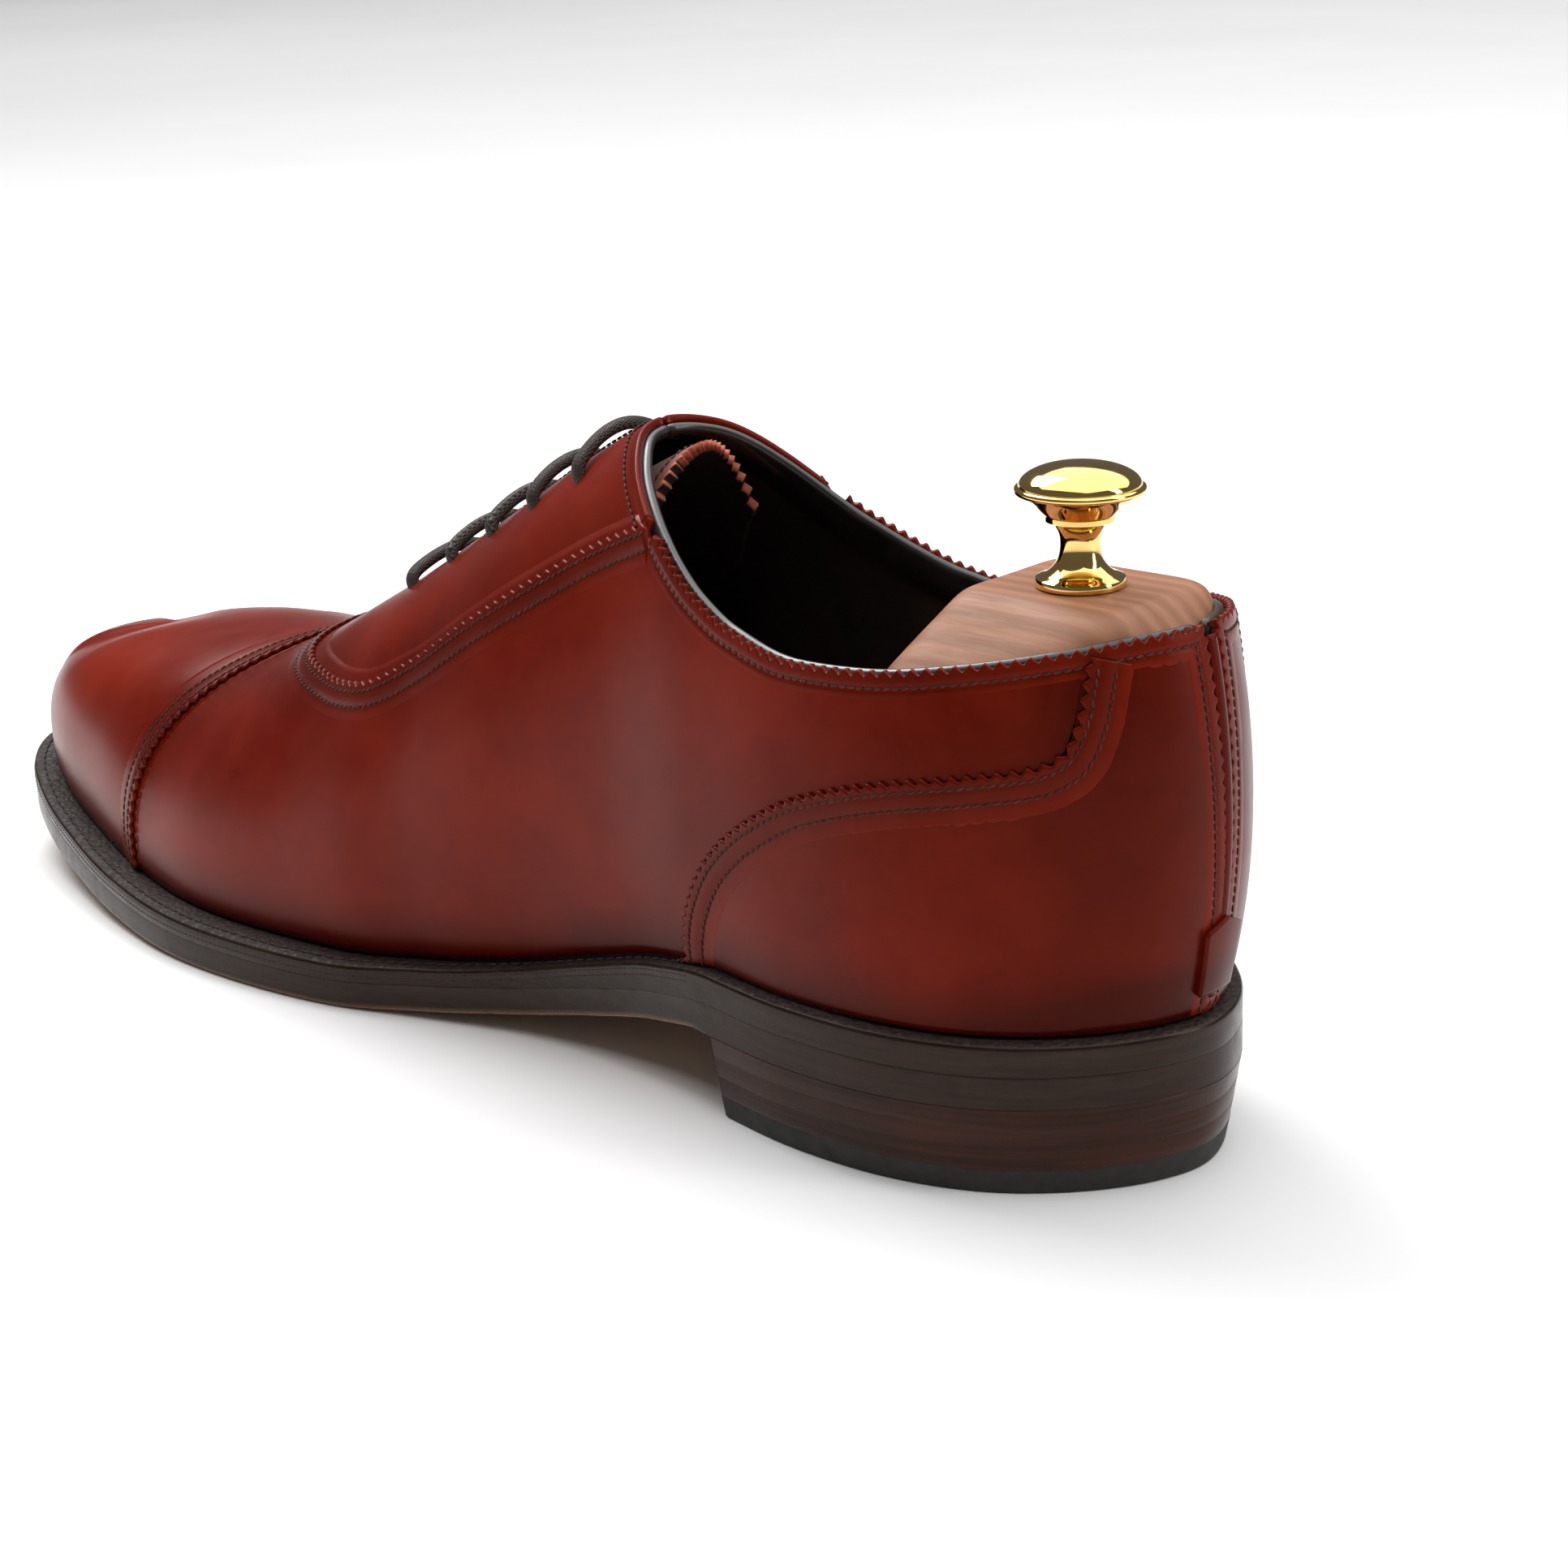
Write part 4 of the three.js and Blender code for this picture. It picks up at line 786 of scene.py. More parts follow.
def tongue_leather():
    """Red leather with a raw, fibrous edge and a soft nap."""
    m = Shader("tongue_leather", Specular_IOR_Level=0.3, Sheen_Weight=0.25, Sheen_Roughness=0.5)
    tone = m.noise(120, detail=5, roughness=0.7)
    base = m.ramp(tone, (0.3, (0.12, 0.014, 0.006)), (0.7, (0.3, 0.042, 0.015)))
    raw = m.ramp(m.noise(900, detail=4), (0.3, (0.2, 0.03, 0.01)), (0.7, (0.62, 0.13, 0.045)))
    m.colour(m.mix(m.attribute("tone_and_shade"), base, raw))
    m.rough(m.ramp(tone, (0.3, 0.5), (0.7, 0.75)))
    m.bump(m.noise(1600, detail=5, roughness=0.8), 0.35, 0.0003)
    return m.material


def lace_cotton():
    """A round waxed lace: two sets of strands that cross, from its run and its turn."""
    m = Shader("waxed_lace", Specular_IOR_Level=0.45)
    turn = m.math("MULTIPLY", m.attribute("around"), 2 * math.pi * 6)
    run = m.math("MULTIPLY", m.attribute("along"), 4.6)
    right = m.math("SINE", m.math("ADD", run, turn))
    left = m.math("SINE", m.math("SUBTRACT", run, turn))
    weave = m.math("MAXIMUM", right, left)
    level = m.math("ADD", m.math("MULTIPLY", weave, 0.5), 0.5)
    # painted shade: the colour is darker in the grooves between the strands and lighter on their crests
    shade = m.ramp(level, (0.0, (0.010, 0.0062, 0.0045)), (1.0, (0.055, 0.035, 0.026)))
    m.colour(m.mix(m.noise(500), shade, (0.02, 0.012, 0.009)))
    m.rough(m.ramp(m.noise(700), (0.3, 0.45), (0.7, 0.62)))
    m.bump(weave, 0.55, 0.00022)
    return m.material


def edge_dressing():
    """Inked and waxed leather edge, bare at its lower corner."""
    m = Shader("edge_dressing", Specular_IOR_Level=0.26, Specular_Tint=(1.0, 0.75, 0.66, 1.0))
    fibres = m.noise(1, detail=5, roughness=0.7, vector=m.stretched((60, 60, 900)))
    ink = m.ramp(fibres, (0.3, (0.009, 0.0055, 0.0042)), (0.7, (0.026, 0.0165, 0.0125)))
    m.colour(m.mix(m.attribute("bare"), ink, (0.17, 0.09, 0.055)))
    m.rough(m.ramp(m.noise(240, detail=4), (0.3, 0.16), (0.75, 0.36)))
    m.bump(m.noise(300, detail=5, roughness=0.6), 0.1, 0.0002)
    return m.material


def welt_leather():
    """The welt's top: dark, pebbled and matt."""
    m = Shader("welt_leather", Specular_IOR_Level=0.35)
    pebble = m.cells(900)
    m.colour(m.ramp(m.noise(700, detail=3), (0.3, (0.012, 0.0062, 0.0056)), (0.7, (0.038, 0.021, 0.018))))
    m.rough(m.ramp(pebble, (0.0, 0.42), (0.6, 0.72)))
    m.bump(pebble, 0.6, 0.0004)
    return m.material


def stacked_leather():
    """Heel lifts, dyed and waxed, with the red of the leather showing between the layers."""
    m = Shader("stacked_leather", Specular_IOR_Level=0.22, Specular_Tint=(1.0, 0.7, 0.6, 1.0))
    streaks = m.noise(1, detail=6, roughness=0.65, distortion=0.3, vector=m.stretched((14, 14, 520)))
    patches = m.noise(40, detail=3)
    dark = m.ramp(streaks, (0.35, (0.010, 0.0062, 0.0058)), (0.65, (0.032, 0.0165, 0.0135)))
    red = m.ramp(streaks, (0.35, (0.022, 0.0085, 0.0062)), (0.65, (0.06, 0.02, 0.013)))
    m.colour(m.mix(m.ramp(patches, (0.4, 0.1), (0.65, 0.9)), dark, red))
    m.rough(m.ramp(m.noise(150), (0.3, 0.2), (0.7, 0.34)))
    m.bump(streaks, 0.12, 0.00015)
    return m.material


def cedar():
    """Cedar, sanded: long grain that runs up the block, with growth rings and pores."""
    m = Shader("cedar", Specular_IOR_Level=0.35)
    bend = m.noise(9, detail=2)
    grain = m.stretched((10, 75, 26))
    rings = m.node("ShaderNodeTexWave", {"Vector": grain, "Scale": 1.1, "Distortion": 3.0, "Detail": 2.0,
                                         "Detail Scale": 0.6, "Phase Offset": bend},
                   bands_direction="Y").outputs["Fac"]
    base = m.ramp(rings, (0.0, (0.3, 0.13, 0.067)), (0.55, (0.36, 0.16, 0.084)), (1.0, (0.4, 0.185, 0.1)))
    fleck = m.noise(1, detail=5, roughness=0.7, vector=m.stretched((60, 900, 260)))
    m.colour(m.mix(m.ramp(fleck, (0.45, 0.0), (0.75, 0.45)), base, (0.25, 0.09, 0.043)))
    m.rough(m.ramp(fleck, (0.3, 0.42), (0.7, 0.6)))
    m.bump(fleck, 0.2, 0.0002)
    return m.material


def brass():
    m = Shader("polished_brass", Metallic=1.0)
    tone = m.noise(120, detail=3)
    m.colour(m.ramp(tone, (0.3, (0.86, 0.56, 0.17)), (0.7, (0.93, 0.66, 0.25))))
    m.rough(m.ramp(m.noise(400, detail=4), (0.3, 0.05), (0.8, 0.1)))
    m.bump(m.noise(900, detail=2), 0.02, 0.0001)
    return m.material


def steel():
    m = Shader("drawn_steel", Metallic=1.0)
    streaks = m.noise(1, detail=4, vector=m.stretched((20, 900, 900)))
    m.colour(m.ramp(streaks, (0.3, (0.42, 0.43, 0.45)), (0.7, (0.6, 0.61, 0.63))))
    m.rough(m.ramp(streaks, (0.3, 0.24), (0.7, 0.4)))
    return m.material


def cork():
    m = Shader("cork_granules", Specular_IOR_Level=0.2)
    grains = m.cells(700)
    m.colour(m.ramp(grains, (0.1, (0.4, 0.22, 0.1)), (0.6, (0.12, 0.055, 0.025))))
    m.rough(m.ramp(grains, (0.0, 0.8), (0.6, 0.95)))
    m.bump(grains, 0.6, 0.0005)
    return m.material


CALF = upper_leather()
LINED = lining_leather()
TONGUE_SKIN = tongue_leather()
BINDING_SKIN = plain("binding_leather", (200, 3), ((0.008, 0.0065, 0.006), (0.022, 0.018, 0.017)),
                     (0.26, 0.4), (1400, 3, 0.15, 0.00015), Specular_IOR_Level=0.6, Coat_Weight=0.4,
                     Coat_Roughness=0.25)
THREAD, WELT_THREAD = (
    plain(name, (1200, 2), colours, (0.4, 0.6), (6000, 3, 0.3, 0.0001), Specular_IOR_Level=0.15)
    for name, colours in (("waxed_thread", ((0.03, 0.0085, 0.006), (0.1, 0.033, 0.022))),
                          ("welt_thread", ((0.02, 0.014, 0.012), (0.06, 0.045, 0.04)))))
LACE_YARN = lace_cotton()
EDGE = edge_dressing()
WELT_SKIN = welt_leather()
STACK = stacked_leather()
BOTTOM = plain("sole_bottom", (70, 5), ((0.22, 0.11, 0.055), (0.36, 0.2, 0.11)), (0.35, 0.55),
               (1500, 4, 0.2, 0.0002), gloss=(300,), Specular_IOR_Level=0.4)
RUBBER = plain("top_piece_rubber", (500, 4), ((0.012, 0.011, 0.0098), (0.024, 0.021, 0.019)), (0.5, 0.66),
               (2200, 3, 0.25, 0.0002), gloss=(260,), Specular_IOR_Level=0.35)
CEDAR = cedar()
BRASS = brass()
STEEL = steel()
BOARD = plain("insole_leather", (300, 5), ((0.2, 0.115, 0.062), (0.36, 0.23, 0.14)), (0.6, 0.8),
              (1800, 4, 0.25, 0.0002), Specular_IOR_Level=0.3)
CORK = cork()


# ---- Upper ----
CAP = cap_curve()
FACING = facing_curve()
REAR = {side: rear_curve(side) for side in SIDES}
TOPLINE = topline_curve()


def seam_tree():
    """Points of all the seams, to find how near a point of the leather is to one."""
    lines = [CAP.points, FACING.points, REAR[-1].points, REAR[1].points]
    points = np.concatenate([line[::3] for line in lines])
    tree = KDTree(len(points))
    for i, point in enumerate(points):
        tree.insert(point, i)
    tree.balance()
    return tree


SEAMS = seam_tree()


def tone_and_shade(points, s, t):
    """How dark the leather is marked: rubbed dark along the seams, darker towards the heel, and painted shade
    low down by the welt.
    """
    near = np.array([SEAMS.find(p)[2] for p in points])
    by_seam = 0.3 * (1 - smooth(near, 2, 13))
    # painted shade: the leather is darkened up to 14 mm above the welt, most at the welt
    height = points[:, 2] - welt_top(points[:, 0])
    painted_shade_by_welt = 0.9 * (1 - smooth(height, 0, 14))
    by_heel = 0.65 * smooth(points[:, 0], 6, 36)
    return np.clip(np.maximum(by_seam, painted_shade_by_welt) + by_heel, 0, 1)


def calf_piece(node, grids, outside=0.0, inside=UPPER):
    """One calf piece of the upper between two depths, in place of its frame node."""
    sheet(f"{node}_leather", grids, constant(outside), constant(inside), CALF, tone_and_shade,
          slot="upper_leather", replaces=[node])


def toe_cap():
    xs = TOE_ROWS[:-1] + spread(-200, CAP_SEAM + 1.2, 3)
    grids = [rows(side, xs, constant(0), constant(1), 46) for side in SIDES]
    calf_piece("toe_cap", grids)


def vamp():
    front = spread(CAP_SEAM - 3, -193.2, 3)
    back = spread(-192.6, -50.5, 90)

    def high(s):
        meets = t_on(s, facing_seam, 2.2)
        crown = last(s, np.ones_like(s))
        closed = crown[..., 2] < facing_seam(crown[..., 0]) + 0.3
        return np.where(closed, 1.0, np.minimum(meets, topline_t(s, 2.0)))

    def low(s):
        return np.where(station(s) < stretch(-49.5), 0.0, t_on(s, rear_seam, -1.0))

    rear = spread(-50, 21.5, 66) + STEEP_ROWS
    grids = [rows(side, front + back + rear[1:], low, high, 40) for side in SIDES]
    calf_piece("vamp", grids)


def facing(side):
    xs = spread(-191, -84, 70) + spread(-83, -57, 40)

    def high(s):
        return np.minimum(slit_t(s), topline_t(s, 0.1))

    def low(s):
        return t_on(s, facing_seam, -1.5)

    calf_piece(f"facing_{SIDE_NAMES[side]}", [rows(side, xs, low, high, 26)], 0.02)


def rear_quarter(side):
    xs = spread(-47.5, 12, 40) + [x for x in HEEL_ROWS[1:-1] if x < 21.8] + STEEP_ROWS
    xs += [x for x in HEEL_ROWS[:-1] if x > 34.7] + ["heel"]

    def high(s):
        return np.minimum(t_on(s, rear_seam, -2.5), topline_t(s, 2.0))

    calf_piece(f"rear_quarter_{SIDE_NAMES[side]}", [rows(side, xs, constant(0), high, 40)], 0.01)


def seam_work():
    """Pinked bands and stitch rows of the lapped seams."""
    band("toe_cap_margin", CAP)
    band("vamp_margin", FACING)
    for side in SIDES:
        band(f"rear_quarter_margin_{SIDE_NAMES[side]}", REAR[side])
    named = {"toe_cap": CAP, "vamp": FACING, "rear_outer": REAR[-1], "rear_inner": REAR[1]}
    for name, seam in named.items():
        for label, distance in (("near", ROW_NEAR), ("far", ROW_FAR)):
            stitches(f"{name}_stitches_{label}", seam, distance)


toe_cap()
vamp()
for each_side in SIDES:
    facing(each_side)
    rear_quarter(each_side)
seam_work()


def topline_work():
    """Pinked top edge of the quarters, the facings' plain folded edges, and their stitches."""
    keep = np.flatnonzero(TOPLINE.points[:, 0] > stretch(-55))
    quarters = TOPLINE.part(TOPLINE.run[keep[0]], TOPLINE.run[keep[-1]])
    band("topline_margin", quarters, standing_teeth, lift=0.15, width=4.6, under=UPPER - 0.1, dark=0.35)
    stitches("topline_stitches", quarters, ROW_NEAR, lift=0.15, width=4.6, tilt=8)
    for side in SIDES:
        s = s_at(stretch(np.linspace(-57.5, -170, 900)), side)
        line = Seam(s, np.minimum(topline_t(s), slit_t(s)), STEP, flip=side > 0)
        name = f"facing_{SIDE_NAMES[side]}"
        band(f"{name}_margin", line, plain_edge, lift=0.12, width=4.4, under=UPPER - 0.1, dark=0.3)
        stitches(f"{name}_stitches", line, 3.0, lift=0.1, width=4.4, tilt=8, height=0.12)


def back_seam():
    """The raised back seam and the tab over its foot."""
    top = float(topline_t(np.array([0.5]))[0])
    t = np.linspace(0.02, top - 0.01, 500)
    line = Seam(np.full_like(t, 0.5), t, 0.8)
    section = [(-1.5, -0.2), (-1.1, 0.06), (-0.6, 0.34), (0, 0.46), (0.6, 0.34), (1.1, 0.06), (1.5, -0.2)]
    rings = np.stack([line.raised(np.full_like(line.run, d), h) for d, h in section], 1)
    marks = {"tone_and_shade": np.full(rings.shape[:2], 0.7)}
    loft("back_seam_ridge", rings, CALF, attributes=marks, slot="upper_leather", weld=False)
    xs = list(38 - 0.5 * np.linspace(1, 0.04, 8) ** 2) + ["heel"]

    def high(s):
        return t_at(s, TAB_TOP - np.abs(outline(s)[0][..., 1]) / 2)

    grids = [rows(side, xs, constant(0.03), high, 20) for side in SIDES]
    calf_piece("back_tab", grids, -TAB, 0.02)


def binding():
    """Black binding: a soft roll on the lining's top edge that runs down its inside."""
    section = [(1.4, 5.0), (1.42, 0.2), (1.55, -0.35), (1.9, -0.75), (2.35, -0.85), (2.8, -0.7), (3.2, -0.25),
               (3.4, 0.5), (3.42, 6.0), (3.12, 6.0), (3.0, 4.9)]
    rings = np.stack([TOPLINE.raised(np.full_like(TOPLINE.run, d), -depth) for depth, d in section], 1)
    loft("topline_binding_roll", rings[::2], BINDING_SKIN, slot="binding_leather", weld=False,
         replaces=["topline_binding"])


def linings():
    def inner_face(s, t):
        return lined_depth(s, t) + LINING

    def high(s):
        return np.minimum(t_across(s, SLIT / 2 + 1), topline_t(s)) - 0.004

    for side in SIDES:
        name = SIDE_NAMES[side]
        xs = spread(-131, -57, 60) + spread(-56, -8, 50)
        sheet(f"quarter_lining_{name}_leather", [rows(side, xs, constant(0.03), high, 30)], lined_depth,
              inner_face, LINED, slot="lining_leather", replaces=[f"quarter_lining_{name}"])
    xs = spread(-7, 12, 16) + HEEL_ROWS[1:]
    grids = [rows(side, xs, constant(0.03), lambda s: topline_t(s) - 0.004, 30) for side in SIDES]
    sheet("heel_lining_leather", grids, lined_depth, inner_face, LINED, slot="lining_leather",
          replaces=["heel_lining"])


# ---- Tongue and lace ----
TONGUE_DEPTH = UPPER + PLY_GAP + LINING + PLY_GAP + LACE + PLY_GAP


def tongue_places(side, w, share, pinked=True):
    """(s, t) on the tongue: w runs from its foot to its free end, share from the crown line to its edge."""
    base = stretch(TONGUE_BASE)
    zigzag = teeth(share * TONGUE_WIDTH / 2) if pinked else 0.0
    end = stretch(TONGUE_END) - zigzag
    x = base + (end - base) * w
    half = TONGUE_WIDTH * (0.3 + 0.2 * smooth(x, base, stretch(TONGUE_END)))
    rounded = 1 - 0.16 * smooth(w, 0.93, 1.0)
    s = s_at(x, side)
    return s, t_across(s, half * share * rounded)


def tongue():
    w, share = np.meshgrid(np.linspace(0, 1, 130), np.linspace(1, 0, 110), indexing="ij")
    grids = []
    for side in SIDES:
        s, t = tongue_places(side, w, share)
        grids.append((s, t) if side < 0 else (s[::-1], t[::-1]))

    def raw(points, s, t):
        return 1 - smooth(stretch(TONGUE_END) - station(s), 0.8, 2.2)

    obj = sheet("tongue_leather", grids, constant(TONGUE_DEPTH), constant(TONGUE_DEPTH + TONGUE), TONGUE_SKIN,
                raw, body="tongue", slot="tongue_leather", replaces=["tongue"])
    paint_faces(obj, LINED, lambda normals: normals[:, 2] < -0.2)
    share = np.linspace(-0.9, 0.9, 400)
    s, t = np.array([tongue_places(-1 if k < 0 else 1, 0.966, abs(k), pinked=False) for k in share]).T
    line = skin(s, t, TONGUE_DEPTH)
    thread_row("tongue_stitches", line, normal(s, t), unit(np.gradient(line, axis=0)), 0.05, THREAD,
               body="tongue")


def eyelet(k, side, across):
    """Where eyelet k sits on one side; k = 0 is the pair nearest the toe."""
    x = stretch(EYELET_LAST + (EYELET_FIRST - EYELET_LAST) * k / (EYELETS - 1))
    s = s_at(stretch(np.linspace(-160, -50, 300)), side)
    t = t_across(s, across)
    at = last(s, t)[:, 0]
    return np.interp(x, at, s), np.interp(x, at, t)


def spline(points, count):
    """A centripetal Catmull-Rom curve through points, at even steps."""
    points = np.asarray(points, float)
    padded = np.concatenate([[2 * points[0] - points[1]], points, [2 * points[-1] - points[-2]]])
    pieces = []
    w = np.linspace(0, 1, 24, endpoint=False)[:, None]
    for p0, p1, p2, p3 in zip(padded, padded[1:], padded[2:], padded[3:]):
        start, square, cube = catmull_rom(p0, p1, p2, p3)
        pieces.append(p1 + w * (start + w * (square + w * cube)))
    curve = np.concatenate(pieces + [points[-1:]])
    run = run_along(curve)
    at = np.linspace(0, run[-1], count)
    return np.stack([np.interp(at, run, curve[:, k]) for k in range(3)], 1), at


def lace():
    """One lace: bars that arch over the slit, the runs between them inside, both ends tucked in."""
    over = -(LACE / 2 + 0.1)
    crest = -(LACE / 2 + 1.2)
    under = UPPER + PLY_GAP + LINING + PLY_GAP + LACE / 2
    route = []

    def put(k, side, across, depth):
        s, t = eyelet(k, side, across)
        route.append(skin(s, t, depth))

    half_bar = ((EYELET_INSET, under - 0.4), (EYELET_INSET, (UPPER + LINING) / 2),
                (EYELET_INSET - 1.0, over + 0.2), (EYELET_INSET * 0.5, (over + crest) / 2 - 0.2))

    def bar(k, start):
        for across, depth in half_bar:
            put(k, start, across, depth)
        s, _ = eyelet(k, start, EYELET_INSET * 0.2)
        route.append(skin(s, 1.0, crest))
        for across, depth in half_bar[::-1]:
            put(k, -start, across, depth)

    def inside(start, end, side, across):
        for w in (0.25, 0.5, 0.75):
            put(start + (end - start) * w, side, across, under)

    beside = EYELET_INSET + LACE * 1.3
    between = EYELET_INSET - LACE * 1.2
    inside(3.6, 3.05, -1, beside)
    bar(3, -1)
    inside(3, 1, 1, beside)
    bar(1, 1)
    inside(1, 0, -1, EYELET_INSET - 0.6)
    bar(0, -1)
    inside(0, 2, 1, between)
    bar(2, 1)
    inside(2, 4, -1, between)
    bar(4, -1)
    inside(4, 3.3, 1, between)
    path, run = spline(route, 1500)
    cord("lace_cord", path, run, LACE / 2)


def cord(name, path, run, radius, sides=16):
    """The round lace along a path, with its run and its turn as attributes for the weave."""
    along = unit(np.gradient(path, axis=0))
    across = np.cross(along[0], [0.0, 0.0, 1.0])
    frames = []
    for direction in along:
        across = unit(across - direction * (across @ direction))
        frames.append((across, np.cross(direction, across)))
    angle = np.linspace(0, 2 * math.pi, sides, endpoint=False)
    rings = np.array([p + radius * (np.outer(np.cos(angle), u) + np.outer(np.sin(angle), v))
                      for p, (u, v) in zip(path, frames)])
    marks = {"along": np.repeat(run[:, None], sides, 1),
             "around": np.repeat(0.5 - 0.5 * np.cos(angle)[None], len(path), 0)}
    loft(name, rings, LACE_YARN, attributes=marks, weld=False, slot="lace", replaces=["lace"])


# ---- Bottom ----
def paint_faces(obj, material, chosen):
    """Gives another material to the faces that chosen picks by their normals."""
    mesh = obj.data
    mesh.materials.append(material)
    normals = np.empty(3 * len(mesh.polygons), np.float32)
    mesh.polygons.foreach_get("normal", normals)
    index = np.where(chosen(normals.reshape(-1, 3)), 1, 0).astype(np.int32)
    mesh.polygons.foreach_set("material_index", index)


def outline_places(front=None):
    """Places along the shoe that follow the outline closely on both sides, from front on."""
    s = np.linspace(0, 0.5, 420)
    xs = np.concatenate([station(s), station(1 - s - 1e-9)])
    if front is not None:
        xs = np.append(xs[xs > front], front)
    return np.unique(xs)


def slab(name, xs, profile, material, marks=None, **options):
    """A layer of the bottom: (inset, level) pairs up its edge, the same on both sides."""
    halves = []
    for side in SIDES:
        s = s_at(xs, side)
        column = []
        for inset, level in profile:
            flat = edge(s, inset(xs) if callable(inset) else inset)
            height = level(flat[:, 0]) if callable(level) else np.full(len(xs), float(level))
            column.append(np.column_stack([flat, height]))
        halves.append(np.stack(column, 1))
    rings = np.concatenate([halves[0], halves[1][:, ::-1]], 1)
    attributes = None
    if marks is not None:
        row = np.concatenate([marks, marks[::-1]])
        attributes = {"bare": np.repeat(row[None], len(xs), 0) * (1 - smooth(xs, -46, -40))[:, None]}
    obj = loft(name, rings, material, attributes=attributes, weld=False, **options)
    tidy_mesh(obj)
    soften(obj, 40)
    return obj


def rim(name, s, section, material, **options):
    """A strip round the outline: a closed section of (inset, height above the outsole) pairs."""
    column = []
    for inset, height in section:
        flat = edge(s, inset)
        level = outsole_top(flat[:, 0]) + (height(flat[:, 0]) if callable(height) else height)
        column.append(np.column_stack([flat, level]))
    obj = loft(name, np.stack(column, 1), material, weld=False, **options)
    tidy_mesh(obj)
    soften(obj, 50)
    paint_faces(obj, WELT_SKIN, lambda normals: normals[:, 2] > 0.75)
    return obj


def edge_section(height):
    """Section of the welt or rand: a dressed edge with rounded corners and a flat top."""
    def over(extra):
        return lambda x: height(x) + extra

    return [(0.12, GAP * 0.5), (0.0, GAP + 0.4), (0.0, over(-0.75)), (0.1, over(-0.3)), (0.35, over(-0.05)),
            (0.75, over(GAP * 0.5)), (3.0, over(GAP)), (WELT_WIDTH, over(GAP)), (WELT_WIDTH, GAP)]


def sole():
    def shown(x):
        return 1 - smooth(x, -46, -39)

    def worn(inset):
        return lambda x: inset * shown(x)

    def above(floor, extra):
        return lambda x: floor(x) + extra

    profile = [(worn(1.5), sole_z), (worn(0.75), above(sole_z, 0.12)), (worn(0.28), above(sole_z, 0.45)),
               (worn(0.06), above(sole_z, 0.9)), (0.0, above(sole_z, 1.4)), (0.0, above(outsole_top, -0.3)),
               (0.1, above(outsole_top, 0.12))]
    bottom = slab("outsole_leather", outline_places(), profile, EDGE, np.array([1, 1, 0.9, 0.5, 0, 0, 0.0]),
                  slot="sole_leather", replaces=["outsole"])
    paint_faces(bottom, BOTTOM, lambda normals: normals[:, 2] < -0.8)
    outer_end = float(s_at(stretch(WAIST_END), -1))
    inner_end = float(s_at(stretch(WAIST_END), 1))
    forepart = np.linspace(inner_end - 1, outer_end, 900)
    seat = np.linspace(outer_end, inner_end, 500)
    for name, s, node in (("welt_strip", forepart, "welt"), ("heel_rand_strip", seat, "heel_rand")):
        rim(name, s, edge_section(welt_height), EDGE, slot="sole_leather", replaces=[node])
    upward = np.tile([0.0, 0.0, 1.0], (len(forepart), 1))
    outward = unit(np.column_stack([edge(forepart, -1) - edge(forepart, 0), np.zeros(len(forepart))]))
    for name, inset, drop, out, size, pitch in (("welt_stitches", 2.2, 0.0, upward, 0.5, 2.7),
                                                ("edge_stitches_upper", 0.0, 1.25, outward, 0.24, 1.25),
                                                ("edge_stitches_lower", 0.0, 2.3, outward, 0.24, 1.25)):
        flat = edge(forepart, inset)
        line = np.column_stack([flat, welt_top(flat[:, 0]) - drop])
        thread_row(name, line, out, unit(np.gradient(line, axis=0)), -0.04, WELT_THREAD, pitch, 0.0, size)


def heel():
    """The three lifts and the top piece, which taper towards the ground."""

    def taper(z):
        return HEEL_TAPER * (1 - z / HEEL_HEIGHT)

    xs = outline_places(stretch(HEEL_BREAST_X))
    for node in ("heel_lift_3", "heel_lift_2", "heel_lift_1", "top_piece"):
        low, high = (corner[2] for corner in box_mm(node))
        round_off, material, slot = 0.1, STACK, "sole_leather"
        if node == "top_piece":
            round_off, material, slot = 0.6, RUBBER, "rubber"
        under_next = 0.0 if node == "heel_lift_3" else GAP * 0.8
        profile = [(taper(low) + round_off, low), (taper(low) + round_off * 0.3, low + round_off * 0.3),
                   (taper(low), low + round_off), (taper(high), high - 0.15),
                   (taper(high) + 0.12, high + under_next)]
        slab(f"{node}_layer", xs, profile, material, slot=slot, replaces=[node])


# ---- Shoe tree ----
def cavity_radius(z, angle, centre):
    """How far the lined shoe's wall is from an upright line at a height, along each angle."""
    s = np.linspace(0.30, 0.70, 500)
    t = np.minimum(t_at(s, z), topline_t(s) + 0.2)
    wall = skin(s, t, lined_depth(s, t) + LINING + TREE_CLEARANCE)[:, :2] - centre[:2]
    at = np.arctan2(wall[:, 1], wall[:, 0])
    order = np.argsort(at)
    radius = np.linalg.norm(wall, axis=1)[order]
    return np.interp(angle, at[order], radius, period=2 * math.pi)


